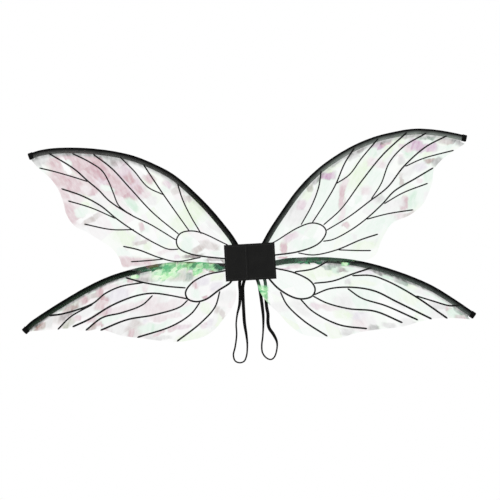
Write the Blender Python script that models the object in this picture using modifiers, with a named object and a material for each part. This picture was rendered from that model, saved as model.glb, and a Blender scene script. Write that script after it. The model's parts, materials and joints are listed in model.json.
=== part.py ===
"""Costume fairy wings: four film wings on wire frames, held in a black cloth cover worn on the back.

The wearer stands on the +Y side and faces +Y, so the outer face of the wings looks towards -Y.
+X is the right-hand side of that outer face and +Z is up. The origin is the middle of the cover's
face against the wearer's back. Lengths are written in millimetres and multiplied by MM.

How it works: the cover has a narrow spine in its middle, with the shoulder straps and the
hook-and-loop closure, and two halves that fold backwards about the edges of the spine. In each half
a stiff core board carries two rivets. The wire of an upper and of a lower wing ends in an eye that
turns on its rivet, so each wing can be raised and lowered in its own plane.
"""
import math

import bmesh
import bpy
import numpy as np

MM = 0.001
SIDES = {"left": -1, "right": 1}

# The cover
COVER_WIDTH = 100 * MM
COVER_HEIGHT = 72 * MM
COVER_CORNER = 1.5 * MM
CLOTH = 0.8 * MM
GAP = 0.3 * MM              # left between neighbouring pieces
FOLD_X = 14.2 * MM          # distance of each fold line from the middle
FRONT_Y = -12.8 * MM        # outer face of the front cloth
FLAP_EDGE_X = -4 * MM       # where the closing flap ends
FLAP_DROP = 2.5 * MM        # how far the under flap steps back below the closing flap
TAPE_WIDTH = 8 * MM
TAPE_HEIGHT = 60 * MM
TAPE_THICKNESS = 0.5 * MM
TAPE_INSET = 1 * MM         # from the closing flap's edge

# Core boards, rivets and washers
BOARD_FRONT_Y = -7.0 * MM
BOARD_BACK_Y = -5.9 * MM
BOARD_OUTER_X = 47.5 * MM
BOARD_HEIGHT = 64 * MM
RIVET_RADIUS = 2.0 * MM
RIVET_FLANGE_RADIUS = 4.2 * MM
RIVET_FLANGE = 0.6 * MM
RIVET_CLEARANCE = 0.3 * MM
WASHER_RADIUS = 5.0 * MM

# Wings: each rod lies in a layer of its own, the upper ones on the outer side of the boards
PIVOT_X = 20 * MM
PIVOT_Z = {"upper": 20 * MM, "lower": -8 * MM}
ROD_Y = {"upper": -9.2 * MM, "lower": -3.1 * MM}
SLEEVE_WIDTH = 11.5 * MM
SLEEVE_THICKNESS = 3.6 * MM
SLEEVE_WALL = 0.6 * MM
WIRE_DIAMETER = 1.8 * MM
EYE_RADIUS = 3.4 * MM
EYE_TURN = math.radians(285)
FILM = 0.3 * MM
FILM_LAP = 5 * MM           # how far the film covers the sleeve from its inner edge
CAP_LENGTH = 8 * MM
CAP_END = 1.3 * MM
CAP_SIDE = 0.8 * MM
CAP_FACE = 0.5 * MM
PATH_STEP = 20 * MM

# Middle line of each rod, from just inside the cover to the tip, as (x, z) in mm
RODS = {
    "upper_left": [(-26, 32.8), (-35.3, 49.3), (-52.7, 73.8), (-85.8, 115.4), (-144.4, 173),
                   (-182.9, 196.2), (-222.4, 214), (-261, 224.5), (-301, 231.3), (-340, 234.8),
                   (-380, 235.2), (-407.6, 231.8), (-427.3, 226)],
    "upper_right": [(28, 32), (43.5, 57.9), (64.1, 87), (103.6, 137.4), (142.9, 174.1), (181.8, 200.3),
                    (222.1, 220.6), (261.5, 234), (301.1, 241.6), (330, 245), (360, 243.5), (399, 236.8),
                    (435, 227.3)],
    "lower_left": [(-34, -6), (-50, -5.3), (-85, -2.3), (-120, 0.6), (-160, 0.5), (-200, -3.5),
                   (-238.8, -10.8), (-277.8, -21.5), (-318, -38), (-358.2, -58.7), (-398.4, -81.4),
                   (-436.3, -105.1), (-451.3, -118.7)],
    "lower_right": [(34, -5), (50, -3.2), (71, -0.2), (100, 0.2), (140, -0.6), (160, -2.2), (199, -7.6),
                    (238.7, -17.2), (277.6, -30.2), (317.2, -46.2), (356.1, -65.5), (394.6, -91.2),
                    (437.8, -123.2)],
}
# Free edge of each film, from the tip back to the cover, with the hidden edge inside the cover last
FREE_EDGES = {
    "upper_left": [(-424, 221), (-410, 203), (-389, 184), (-372, 159), (-363, 132), (-358, 109),
                   (-342, 85), (-323, 75), (-300, 60), (-272, 40), (-257, 19), (-250, 0), (-225, -7),
                   (-180, -6), (-120, -5), (-50, -10), (-38, -9), (-31, 6), (-27, 22)],
    "upper_right": [(432, 217), (412, 205), (385, 187), (369, 168), (364, 142), (353, 116),
                    (344, 101), (318, 81), (282, 66), (265, 42), (256, 25), (248, 6), (225, -5),
                    (180, -5), (120, -3), (50, -10), (38, -9), (31, 6), (27, 22)],
    "lower_left": [(-433, -118), (-400, -117), (-360, -116), (-331, -122), (-300, -120), (-260, -134),
                   (-220, -141), (-180, -148), (-150, -151), (-120, -148), (-98, -143), (-75, -129),
                   (-58, -110), (-40, -88), (-30, -66), (-31, -45), (-33, -30), (-34, -16)],
    "lower_right": [(430, -130), (412, -127), (365, -125), (330, -130), (294, -139), (250, -142),
                    (206, -147), (165, -157), (124, -152), (98, -146), (71, -125), (52, -102),
                    (36, -86), (22, -68), (14, -52), (13, -37), (19, -23), (32, -14)],
}

# Elastic straps: one loop each side, sewn to the spine near its top and its bottom, as (x, y, z) in mm
STRAP_WIDTH = 6.5 * MM
STRAP_THICKNESS = 1.2 * MM
STRAP_STEP = 11 * MM
STRAP_ROUTES = {
    "left": [(-8, 0.9, 31), (-8, 0.9, 18), (-10.5, 0.9, 0), (-17, 0.9, -20), (-22.3, 1.3, -38),
             (-22.2, 1.2, -60), (-24.4, 1.2, -82), (-29.6, 1.7, -101), (-32.6, 2.4, -120),
             (-32.6, 3, -142), (-36.5, 3, -166), (-40.6, 3, -182), (-37.5, 3, -193.5),
             (-29, 3, -197.5), (-20, 3, -195), (-14.6, 3, -184), (-12.2, 3, -162), (-13.2, 3, -144),
             (-16, 3.1, -120), (-16.8, 3.2, -90), (-16.9, 3.2, -64), (-16.4, 2.8, -47),
             (-12.8, 1.5, -34), (-9, 1, -27), (-8, 0.9, -20)],
    "right": [(8, 0.9, 31), (8, 0.9, 18), (12, 0.9, 0), (20.5, 0.9, -18), (27.6, 1.3, -37),
              (28.4, 1.4, -60), (28.8, 1.6, -88), (31, 1.9, -104), (30.4, 2.4, -120),
              (32.5, 3, -131.5), (40.5, 3, -144.5), (46.6, 3, -160), (45, 3, -177.5),
              (39.5, 3, -190), (33, 3, -193.6), (24.5, 3, -190), (17.4, 3, -180), (16.2, 3, -166),
              (19, 3, -147), (21, 3, -125), (21.5, 3, -106), (20, 2.9, -84), (17.8, 2.8, -62),
              (15.9, 2.4, -46), (12.4, 1.5, -34), (9, 1, -27), (8, 0.9, -20)],
}
STRAP_TWIST = math.radians(75)
# Heights in mm between which each leg turns from face-on to nearly edge-on: on the way down, then up
STRAP_TURNS = {"left": ((-46, -116), (-88, -176)), "right": ((-128, -172), (-60, -148))}
TACK_WIDTH = 8 * MM
TACK_HEIGHT = 2.4 * MM
TACK_THICKNESS = 0.7 * MM
TACK_Z = {"upper": 27 * MM, "lower": -25 * MM}


def clear_scene():
    for thing in list(bpy.data.objects):
        bpy.data.objects.remove(thing, do_unlink=True)


def new_collection(name):
    collection = bpy.data.collections.new(name)
    bpy.context.scene.collection.children.link(collection)
    return collection


def new_material(name, colour, roughness, metallic=0.0):
    material = bpy.data.materials.new(name)
    material.use_nodes = True
    shader = material.node_tree.nodes["Principled BSDF"]
    shader.inputs["Base Color"].default_value = (*colour, 1)
    shader.inputs["Roughness"].default_value = roughness
    shader.inputs["Metallic"].default_value = metallic
    material.diffuse_color = (*colour, 1)
    return material


clear_scene()
PARTS = new_collection("fairy_wings")
CUTTERS = new_collection("cutters")
CLOTH_BLACK = new_material("black_cloth", (0.014, 0.014, 0.013), 0.95)
TAPE_BLACK = new_material("hook_and_loop_black", (0.01, 0.01, 0.01), 1.0)
THREAD_BLACK = new_material("black_thread", (0.018, 0.018, 0.018), 0.8)
ELASTIC_BLACK = new_material("black_elastic", (0.006, 0.006, 0.006), 0.85)
BOARD_GREY = new_material("grey_board", (0.16, 0.15, 0.14), 0.8)
RIVET_STEEL = new_material("plated_steel", (0.55, 0.55, 0.56), 0.35, 1.0)
WASHER_WHITE = new_material("nylon", (0.75, 0.75, 0.72), 0.5)
WIRE_STEEL = new_material("spring_steel", (0.42, 0.42, 0.43), 0.4, 1.0)
SLEEVE_BLACK = new_material("black_plastic_sleeve", (0.008, 0.008, 0.009), 0.35)
CAP_BLACK = new_material("black_end_cap", (0.005, 0.005, 0.005), 0.5)
FILM_PEARL = new_material("pearl_film", (0.86, 0.88, 0.87), 0.15)


# ---------------------------------------------------------------- geometry helpers

def resampled(points, step):
    """The same line with evenly spaced points about step apart."""
    points = np.asarray(points, float)
    run = np.concatenate([[0.0], np.cumsum(np.linalg.norm(np.diff(points, axis=0), axis=1))])
    count = max(2, round(run[-1] / step) + 1)
    at = np.linspace(0, run[-1], count)
    return np.stack([np.interp(at, run, column) for column in points.T], axis=1)


def smooth_line(route, per_span=12):
    """A centripetal Catmull-Rom curve through every point of the route."""
    route = np.asarray(route, float)
    route = np.vstack([2 * route[0] - route[1], route, 2 * route[-1] - route[-2]])
    line = []
    for a, b, c, d in zip(route, route[1:], route[2:], route[3:]):
        t1 = np.linalg.norm(b - a) ** 0.5
        t2 = t1 + np.linalg.norm(c - b) ** 0.5
        t3 = t2 + np.linalg.norm(d - c) ** 0.5
        for t in np.linspace(t1, t2, per_span, endpoint=False):
            ab = a + (b - a) * t / t1
            bc = b + (c - b) * (t - t1) / (t2 - t1)
            cd = c + (d - c) * (t - t2) / (t3 - t2)
            abc = ab + (bc - ab) * t / t2
            bcd = bc + (cd - bc) * (t - t1) / (t3 - t1)
            line.append(abc + (bcd - abc) * (t - t1) / (t2 - t1))
    return np.array(line + [route[-2]])


def stretch_of(line, start, end):
    """The part of a line between two distances along it; past its end it carries on straight."""
    run = np.concatenate([[0.0], np.cumsum(np.linalg.norm(np.diff(line, axis=0), axis=1))])
    inside = line[(run > start) & (run < min(end, run[-1]))]
    ends = [np.array([np.interp(at, run, column) for column in line.T]) for at in (start, end)]
    if end > run[-1]:
        heading = (line[-1] - line[-2]) / np.linalg.norm(line[-1] - line[-2])
        ends[1] = line[-1] + heading * (end - run[-1])
    return np.vstack([ends[0], inside, ends[1]])


def length_of(line):
    return float(np.linalg.norm(np.diff(line, axis=0), axis=1).sum())


def circle(radius, centre=(0, 0), sides=20):
    turns = [2 * math.pi * i / sides for i in range(sides)]
    return [(centre[0] + radius * math.cos(t), centre[1] + radius * math.sin(t)) for t in turns]


def rounded_rectangle(x0, x1, z0, z1, radius, arc_points=4):
    """Corner by corner, counter-clockwise from the lower right."""
    outline = []
    centres = [(x1 - radius, z0 + radius), (x1 - radius, z1 - radius),
               (x0 + radius, z1 - radius), (x0 + radius, z0 + radius)]
    for quarter, (cx, cz) in enumerate(centres):
        for i in range(arc_points):
            turn = math.pi / 2 * (quarter - 1 + i / (arc_points - 1))
            outline.append((cx + radius * math.cos(turn), cz + radius * math.sin(turn)))
    return outline


# ---------------------------------------------------------------- object helpers

def add_part(name, data, material, parent=None, location=(0, 0, 0), collection=None):
    """Link an object; its location is given in world space whatever its parent is."""
    thing = bpy.data.objects.new(name, data)
    (collection or PARTS).objects.link(thing)
    if material:
        data.materials.append(material)
    thing.parent = parent
    base = anchor_of(parent)
    thing.location = [w - b for w, b in zip(location, base)]
    return thing


def add_axis(name, location, parent=None):
    """An empty on a joint's axis, which the moving pieces hang from."""
    return add_part(name, None, None, parent, location)


def anchor_of(parent):
    """World position of a chain of empties that are only moved, never turned."""
    total = np.zeros(3)
    while parent:
        total += np.array(parent.location)
        parent = parent.parent
    return total


def plate(name, outlines, y_outer, y_inner, material, parent=None, centre=(0, 0)):
    """A flat piece standing in the X-Z plane; outlines after the first are holes in it."""
    curve = bpy.data.curves.new(name, "CURVE")
    curve.dimensions = "2D"
    curve.fill_mode = "BOTH"
    curve.extrude = abs(y_outer - y_inner) / 2
    for outline in outlines:
        spline = curve.splines.new("POLY")
        spline.points.add(len(outline) - 1)
        spline.use_cyclic_u = True
        for point, (x, z) in zip(spline.points, outline):
            point.co = (x - centre[0], z - centre[1], 0, 1)
    piece = add_part(name, curve, material, parent, (centre[0], (y_outer + y_inner) / 2, centre[1]))
    piece.rotation_euler = (math.pi / 2, 0, 0)
    return piece


def rod(name, line, material, parent=None, centre=(0, 0, 0), width=None, thickness=None, diameter=None,
        wall=None, tilts=None, collection=None):
    """A round wire, or a flat band or tube with its flat side along Y, that follows a line."""
    curve = bpy.data.curves.new(name, "CURVE")
    curve.dimensions = "3D"
    curve.twist_mode = "MINIMUM"
    curve.bevel_depth = (diameter or thickness) / 2
    curve.bevel_resolution = 2 if diameter else 1
    curve.extrude = 0 if diameter else (width - thickness) / 2
    curve.use_fill_caps = wall is None
    spline = curve.splines.new("POLY")
    spline.points.add(len(line) - 1)
    for index, (point, at) in enumerate(zip(spline.points, line)):
        point.co = (*(np.asarray(at) - centre), 1)
        point.tilt = tilts[index] if tilts is not None else 0
    piece = add_part(name, curve, material, parent, centre, collection)
    if wall:
        shell = piece.modifiers.new("wall", "SOLIDIFY")
        shell.thickness = wall
        shell.offset = -1
    return piece


def as_mesh(piece):
    """Turn a curve object into a mesh object in the same place, with its caps welded on."""
    bpy.context.view_layer.update()
    evaluated = piece.evaluated_get(bpy.context.evaluated_depsgraph_get())
    mesh = bpy.data.meshes.new_from_object(evaluated)
    name, parent, materials = piece.name, piece.parent, list(piece.data.materials)
    collection, matrix = piece.users_collection[0], piece.matrix_world.copy()
    bpy.data.objects.remove(piece, do_unlink=True)
    welded = weld(mesh)
    welded.name = name
    solid = bpy.data.objects.new(name, welded)
    collection.objects.link(solid)
    solid.parent = parent
    solid.matrix_world = matrix
    if materials and not welded.materials:
        welded.materials.append(materials[0])
    return solid


def weld(mesh):
    shape = bmesh.new()
    shape.from_mesh(mesh)
    bmesh.ops.remove_doubles(shape, verts=shape.verts, dist=1e-6)
    shape.to_mesh(mesh)
    shape.free()
    return mesh


def turned(name, profile, material, parent, location):
    """A piece turned about the Y axis; the profile is (radius, distance towards -Y), outermost first."""
    mesh = bpy.data.meshes.new(name)
    mesh.from_pydata([(r, 0, z) for r, z in profile], [(i, i + 1) for i in range(len(profile) - 1)], [])
    piece = add_part(name, mesh, material, parent, location)
    piece.rotation_euler = (math.pi / 2, 0, 0)
    screw = piece.modifiers.new("turn", "SCREW")
    screw.steps = 18
    screw.render_steps = 18
    screw.use_merge_vertices = True
    screw.merge_threshold = 1e-5
    return piece


# ---------------------------------------------------------------- the spine

def spine():
    """The middle strip of the cover: back band, closing flap, under flap and the tapes between."""
    top = COVER_HEIGHT / 2
    edge = FOLD_X - GAP / 2
    plate("back_band", [rounded_rectangle(-edge, edge, -top, top, 0.5 * MM)], -CLOTH, 0, CLOTH_BLACK)
    plate("closing_flap", [rounded_rectangle(-edge, FLAP_EDGE_X, -top, top, 0.5 * MM)],
          FRONT_Y, FRONT_Y + CLOTH, CLOTH_BLACK)
    under_flap(edge)
    tape_x = FLAP_EDGE_X - TAPE_INSET - TAPE_WIDTH
    tape = [rounded_rectangle(tape_x, tape_x + TAPE_WIDTH, -TAPE_HEIGHT / 2, TAPE_HEIGHT / 2, 1 * MM)]
    hook_y = FRONT_Y + CLOTH + 0.15 * MM
    loop_y = hook_y + TAPE_THICKNESS + 0.4 * MM
    plate("hook_tape", tape, hook_y, hook_y + TAPE_THICKNESS, TAPE_BLACK)
    plate("loop_tape", tape, loop_y, loop_y + TAPE_THICKNESS, TAPE_BLACK)


def under_flap(edge):
    """Flush with the closing flap where it shows, and stepped back where the closing flap covers it."""
    low = FRONT_Y + FLAP_DROP
    step_x = FLAP_EDGE_X + GAP
    plan = [(edge, FRONT_Y), (edge, FRONT_Y + CLOTH), (step_x + 2 * MM, FRONT_Y + CLOTH),
            (step_x, low + CLOTH), (-edge, low + CLOTH), (-edge, low),
            (step_x - CLOTH, low), (step_x + 1 * MM, FRONT_Y)]
    curve = bpy.data.curves.new("under_flap", "CURVE")
    curve.dimensions = "2D"
    curve.fill_mode = "BOTH"
    curve.extrude = COVER_HEIGHT / 2
    spline = curve.splines.new("POLY")
    spline.points.add(len(plan) - 1)
    spline.use_cyclic_u = True
    for point, (x, y) in zip(spline.points, plan):
        point.co = (x, y, 0, 1)
    add_part("under_flap", curve, CLOTH_BLACK)


def strap_turn(side, line):
    """How far the band has turned from face-on at each point of its line."""
    lowest = int(np.argmin(line[:, 2]))
    going_up = np.arange(len(line)) >= lowest
    high, low = [np.where(going_up, up, down) * MM for down, up in zip(*STRAP_TURNS[side])]
    share = np.clip((high - line[:, 2]) / (high - low), 0, 1)
    return share * share * (3 - 2 * share) * STRAP_TWIST


def straps():
    """Two flat elastic loops and the bar tacks that sew their ends to the back band."""
    for side, sign in SIDES.items():
        line = resampled(smooth_line(np.array(STRAP_ROUTES[side]) * MM), STRAP_STEP)
        rod(f"{side}_strap", line, ELASTIC_BLACK, width=STRAP_WIDTH, thickness=STRAP_THICKNESS,
            tilts=sign * strap_turn(side, line))
        for end, z in TACK_Z.items():
            x = sign * 8 * MM
            outline = rounded_rectangle(x - TACK_WIDTH / 2, x + TACK_WIDTH / 2,
                                        z - TACK_HEIGHT / 2, z + TACK_HEIGHT / 2, 0.6 * MM)
            plate(f"{side}_{end}_bar_tack", [outline], 1.8 * MM, 1.8 * MM + TACK_THICKNESS, THREAD_BLACK)


# ---------------------------------------------------------------- the halves of the cover

def half(side, sign):
    """Front and back cloth, the core board between them and the two rivets that carry the wings."""
    fold = add_axis(f"{side}_fold_axis", (sign * FOLD_X, FRONT_Y, 0))
    top = COVER_HEIGHT / 2
    near, far = sorted((sign * (FOLD_X + GAP / 2), sign * COVER_WIDTH / 2))
    cloth = [rounded_rectangle(near, far, -top, top, COVER_CORNER)]
    centre = (sign * FOLD_X, 0)
    plate(f"{side}_front_cloth", cloth, FRONT_Y, FRONT_Y + CLOTH, CLOTH_BLACK, fold, centre)
    plate(f"{side}_back_cloth", cloth, -CLOTH, 0, CLOTH_BLACK, fold, centre)
    near, far = sorted((sign * (FOLD_X + 1 * MM), sign * BOARD_OUTER_X))
    board = [rounded_rectangle(near, far, -BOARD_HEIGHT / 2, BOARD_HEIGHT / 2, 4 * MM)]
    for z in PIVOT_Z.values():
        board.append(circle(RIVET_RADIUS + RIVET_CLEARANCE, (sign * PIVOT_X, z)))
    plate(f"{side}_core_board", board, BOARD_FRONT_Y, BOARD_BACK_Y, BOARD_GREY, fold, centre)
    return fold


def rivet(side, level, sign, fold):
    """A rivet through the core board and the wire's eye, with a nylon washer between the two."""
    eye_front = ROD_Y[level] - WIRE_DIAMETER / 2
    eye_back = ROD_Y[level] + WIRE_DIAMETER / 2
    front = min(eye_front, BOARD_FRONT_Y) - GAP - RIVET_FLANGE
    back = max(eye_back, BOARD_BACK_Y) + GAP + RIVET_FLANGE
    profile = [(0, -front), (RIVET_FLANGE_RADIUS, -front), (RIVET_FLANGE_RADIUS, -front - RIVET_FLANGE),
               (RIVET_RADIUS, -front - RIVET_FLANGE), (RIVET_RADIUS, -back + RIVET_FLANGE),
               (RIVET_FLANGE_RADIUS, -back + RIVET_FLANGE), (RIVET_FLANGE_RADIUS, -back), (0, -back)]
    x, z = sign * PIVOT_X, PIVOT_Z[level]
    turned(f"{level}_{side}_rivet", profile, RIVET_STEEL, fold, (x, 0, z))
    if level == "upper":
        washer_y = (eye_back + GAP, BOARD_FRONT_Y - GAP)
    else:
        washer_y = (BOARD_BACK_Y + GAP, eye_front - GAP)
    ring = [circle(WASHER_RADIUS, (x, z)), circle(RIVET_RADIUS + RIVET_CLEARANCE, (x, z))]
    plate(f"{level}_{side}_washer", ring, *washer_y, WASHER_WHITE, fold, (x, z))


# ---------------------------------------------------------------- the wings

def eye_and_lead(first, second, pivot, sign, level):
    """The wire's eye round the rivet, ending where it runs off tangent towards the sleeve."""
    away = np.arctan2(first[1] - pivot[1], first[0] - pivot[0])
    spin = -sign if level == "upper" else sign
    reach = np.linalg.norm(first - pivot)
    tangent = away + spin * np.arccos(EYE_RADIUS / reach)
    turns = tangent + spin * np.linspace(EYE_TURN, 0, 15)
    return [pivot + EYE_RADIUS * np.array([math.cos(t), math.sin(t)]) for t in turns]


def wing(side, level, sign, fold):
    name = f"{level}_{side}"
    pivot = np.array([sign * PIVOT_X, PIVOT_Z[level]])
    rod_y = ROD_Y[level]
    axis = add_axis(f"{name}_pivot", (pivot[0], rod_y, pivot[1]), fold)
    centre = (pivot[0], rod_y, pivot[1])

    def standing(line):
        return np.column_stack([line[:, 0], np.full(len(line), rod_y), line[:, 1]])

    line = smooth_line(np.array(RODS[name]) * MM)
    length = length_of(line)
    rod(f"{name}_sleeve", standing(resampled(line, PATH_STEP)), SLEEVE_BLACK, axis, centre,
        width=SLEEVE_WIDTH, thickness=SLEEVE_THICKNESS, wall=SLEEVE_WALL)

    eye = eye_and_lead(line[0], line[1], pivot, sign, level)
    wire = np.vstack([eye, resampled(stretch_of(line, 0, length - 2 * MM), PATH_STEP)])
    rod(f"{name}_wire", standing(wire), WIRE_STEEL, axis, centre, diameter=WIRE_DIAMETER)

    cap(name, line, length, standing, axis, centre)

    lead = resampled(stretch_of(line, 1 * MM, length - CAP_LENGTH - 1.5 * MM), PATH_STEP)
    heading = np.gradient(lead, axis=0)
    inward = np.column_stack([-heading[:, 1], heading[:, 0]]) * -sign
    inward /= np.linalg.norm(inward, axis=1)[:, None]
    beside_cap = lead[-1] + inward[-1] * (SLEEVE_WIDTH / 2 + CAP_SIDE + 2 * MM)
    edge = resampled(smooth_line(np.array(FREE_EDGES[name]) * MM, 6), 8 * MM)
    outline = np.vstack([lead + inward * (SLEEVE_WIDTH / 2 - FILM_LAP), beside_cap, edge])
    film_back = rod_y - SLEEVE_THICKNESS / 2 - GAP
    plate(f"{name}_film", [outline], film_back - FILM, film_back, FILM_PEARL, axis, tuple(pivot))


def cap(name, line, length, standing, axis, centre):
    """A flattened cup pushed over the end of the sleeve."""
    outer = resampled(stretch_of(line, length - CAP_LENGTH, length + CAP_END), 4 * MM)
    inner = resampled(stretch_of(line, length - CAP_LENGTH - 2 * MM, length + GAP), 4 * MM)
    body = as_mesh(rod(f"{name}_end_cap", standing(outer), CAP_BLACK, axis, centre,
                       width=SLEEVE_WIDTH + 2 * (GAP + CAP_SIDE),
                       thickness=SLEEVE_THICKNESS + 2 * (GAP + CAP_FACE)))
    cutter = as_mesh(rod(f"{name}_cap_hollow", standing(inner), None, axis, centre,
                         width=SLEEVE_WIDTH + 2 * GAP, thickness=SLEEVE_THICKNESS + 2 * GAP,
                         collection=CUTTERS))
    cutter.hide_render = True
    cutter.display_type = "WIRE"
    hollow = body.modifiers.new("hollow", "BOOLEAN")
    hollow.operation = "DIFFERENCE"
    hollow.object = cutter


def build():
    spine()
    straps()
    for side, sign in SIDES.items():
        fold = half(side, sign)
        for level in ("upper", "lower"):
            rivet(side, level, sign, fold)
            wing(side, level, sign, fold)


build()
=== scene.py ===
"""Looks of the costume fairy wings: film, veins, sleeves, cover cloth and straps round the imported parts.

Row frame, in metres: +X to the right of the outer face, +Y towards the wearer, +Z up. Lists of points
and sizes are written in millimetres and multiplied by MM.
"""
import json
import math

import bmesh
import bpy
import numpy as np
from mathutils import Matrix, Vector
from mathutils.bvhtree import BVHTree
from mathutils.geometry import delaunay_2d_cdt


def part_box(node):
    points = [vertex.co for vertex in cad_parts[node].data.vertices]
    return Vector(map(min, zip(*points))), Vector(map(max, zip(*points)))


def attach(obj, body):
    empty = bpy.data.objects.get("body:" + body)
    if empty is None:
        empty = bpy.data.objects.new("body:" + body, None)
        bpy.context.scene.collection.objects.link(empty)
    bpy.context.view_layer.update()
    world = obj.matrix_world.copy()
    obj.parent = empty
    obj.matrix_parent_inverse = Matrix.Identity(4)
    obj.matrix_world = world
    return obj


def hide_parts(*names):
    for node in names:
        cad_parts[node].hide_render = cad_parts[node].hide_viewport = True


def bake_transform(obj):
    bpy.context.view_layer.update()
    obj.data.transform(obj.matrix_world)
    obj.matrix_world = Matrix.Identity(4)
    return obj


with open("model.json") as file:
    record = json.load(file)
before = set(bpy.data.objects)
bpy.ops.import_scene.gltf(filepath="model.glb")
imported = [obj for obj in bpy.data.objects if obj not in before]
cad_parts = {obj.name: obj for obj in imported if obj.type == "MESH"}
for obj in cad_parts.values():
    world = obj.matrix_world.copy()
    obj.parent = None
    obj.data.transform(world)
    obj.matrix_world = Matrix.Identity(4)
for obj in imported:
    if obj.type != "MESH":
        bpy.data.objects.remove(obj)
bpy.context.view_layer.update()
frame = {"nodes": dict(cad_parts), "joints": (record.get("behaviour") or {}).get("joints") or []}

MM = 0.001
SIDES = {"left": -1, "right": 1}
WINGS = ["upper_left", "upper_right", "lower_left", "lower_right"]

# Camera: square on to the outer face, rolled a little; VIEW_WIDTH is the width seen at the wings
SENSOR = 36.0
VIEW_WIDTH = 0.989
VIEW_DISTANCE = 3.2
VIEW_X = 0.0006
VIEW_Z = 0.0247
VIEW_ROLL = math.radians(2.3)
# Soft lights: place, side and power in watts
LAMPS = {"key": ((-1.7, -2.3, 1.9), 1.6, 38), "fill": ((2.2, -1.9, 0.5), 1.4, 14),
         "back": ((0.8, 2.4, 1.5), 1.5, 26)}
BACKDROP_STRENGTH, ROOM_STRENGTH = 1.0, 0.75
FLOOR_RADIUS, FLOOR_HEIGHT, FLOOR_SIDES = 0.85, -0.62, 96
FLOOR_FADE = (0.35, 0.83)

# Elastic straps, whose middle lines are those of the CAD straps
STRAP_WIDTH = 6.5 * MM
STRAP_THICKNESS = 1.2 * MM
STRAP_RIBS = 6
STRAP_RIB_DEPTH = 0.16      # as a share of the thickness
STRAP_AROUND = 32           # points round the band
STRAP_ROUTES = {
    "left": [(-8, 0.9, 31), (-8, 0.9, 18), (-10.5, 0.9, 0), (-17, 0.9, -20), (-22.3, 1.3, -38),
             (-22.2, 1.2, -60), (-24.4, 1.2, -82), (-29.6, 1.7, -101), (-32.6, 2.4, -120),
             (-32.6, 3, -142), (-36.5, 3, -166), (-40.6, 3, -182), (-37.5, 3, -193.5),
             (-29, 3, -197.5), (-20, 3, -195), (-14.6, 3, -184), (-12.2, 3, -162), (-13.2, 3, -144),
             (-16, 3.1, -120), (-16.8, 3.2, -90), (-16.9, 3.2, -64), (-16.4, 2.8, -47),
             (-12.8, 1.5, -34), (-9, 1, -27), (-8, 0.9, -20)],
    "right": [(8, 0.9, 31), (8, 0.9, 18), (12, 0.9, 0), (20.5, 0.9, -18), (27.6, 1.3, -37),
              (28.4, 1.4, -60), (28.8, 1.6, -88), (31, 1.9, -104), (30.4, 2.4, -120),
              (32.5, 3, -131.5), (40.5, 3, -144.5), (46.6, 3, -160), (45, 3, -177.5),
              (39.5, 3, -190), (33, 3, -193.6), (24.5, 3, -190), (17.4, 3, -180), (16.2, 3, -166),
              (19, 3, -147), (21, 3, -125), (21.5, 3, -106), (20, 2.9, -84), (17.8, 2.8, -62),
              (15.9, 2.4, -46), (12.4, 1.5, -34), (9, 1, -27), (8, 0.9, -20)],
}
# Heights in mm between which each leg turns from face-on towards edge-on: on the way down, then up
STRAP_TURNS = {"left": ((-46, -116), (-88, -176)), "right": ((-128, -172), (-60, -148))}
STRAP_TWIST = math.radians(65)

# Film
FILM_STEP = 3.2 * MM
VEIN_WIDTHS = {"upper": 2.85 * MM, "lower": 3.5 * MM}
VEIN_THICKNESS = 0.22 * MM
# Distance from the middle at which each film's material changes from its root part to its tip part
FILM_JOINS = {"upper_left": 230 * MM, "upper_right": 250 * MM,
              "lower_left": 200 * MM, "lower_right": 230 * MM}
# Where a patch starts to show and where it is full, as squares of the distance in half sizes
PATCH_RIM, PATCH_CORE = 2.6, 0.45
# How many half sizes a patch spreads, and how far its border strays beyond that in mm
PATCH_REACH, PATCH_STRAY = 1.7, 10
# How far the patches' borders are ruffled, and how far they jump from facet to facet
RUFFLE = 11 * MM
FACET_JUMP = 5 * MM
# How much of the clear film between the patches is tinted, from facet to facet
FACET_COVER = (0.05, 0.15)
# Distances from the rod's middle line between which the film leaves its sleeve, and the shares of its
# colour and of its shine that show where it lies on the sleeve
LAP = (4.5 * MM, 8.5 * MM)
LAP_COVER = 0.05
LAP_GLANCE = 0.1

# Sleeves and the caps on their tips
SLEEVE_WIDTH = 11.5 * MM
CAP_WIDTH = 13.7 * MM

# Grey painted into each sleeve's colour as the reflection of the white room in the film in front of it,
# and how much of the light the grey strip of film beside each sleeve stops, with its reach
SLEEVE_REFLECTION = {"upper_left": (0.049, 0.05, 0.048), "upper_right": (0.13, 0.145, 0.135),
               "lower_left": (0.014, 0.024, 0.016), "lower_right": (0.047, 0.055, 0.051)}
# How the painted reflection grows across the sleeve, from its outer edge to its film side, and along it
# from root to tip
REFLECTION_ACROSS = [(-1, 0), (-0.55, 0), (-0.35, 0.08), (0, 0.55), (0.35, 0.95), (0.7, 1.4), (1, 1.7)]
REFLECTION_ALONG = [(0, 0.2), (0.3, 0.55), (0.5, 1.0), (1, 1.05)]
ROD_STRIPS = {"upper_left": (0.6, 14 * MM), "upper_right": (0.42, 15 * MM),
        "lower_left": (0.85, 10.5 * MM), "lower_right": (0.78, 10.5 * MM)}
ROD_STRIP_GREY = (0.10, 0.105, 0.10, 1)
# Distances from the rod's middle line between which the grey strip starts
ROD_STRIP_START = (4.6 * MM, 5.8 * MM)
# The grey strip is faint near the cover and grows between these distances from the middle
ROD_STRIP_GROWTH = (60 * MM, 190 * MM)
ROD_STRIP_AT_ROOT = 0.3

# The cloth cover hangs a little askew on its boards
COVER_TURN = math.radians(1.0)
COVER_LIFT = 1.2 * MM
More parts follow.
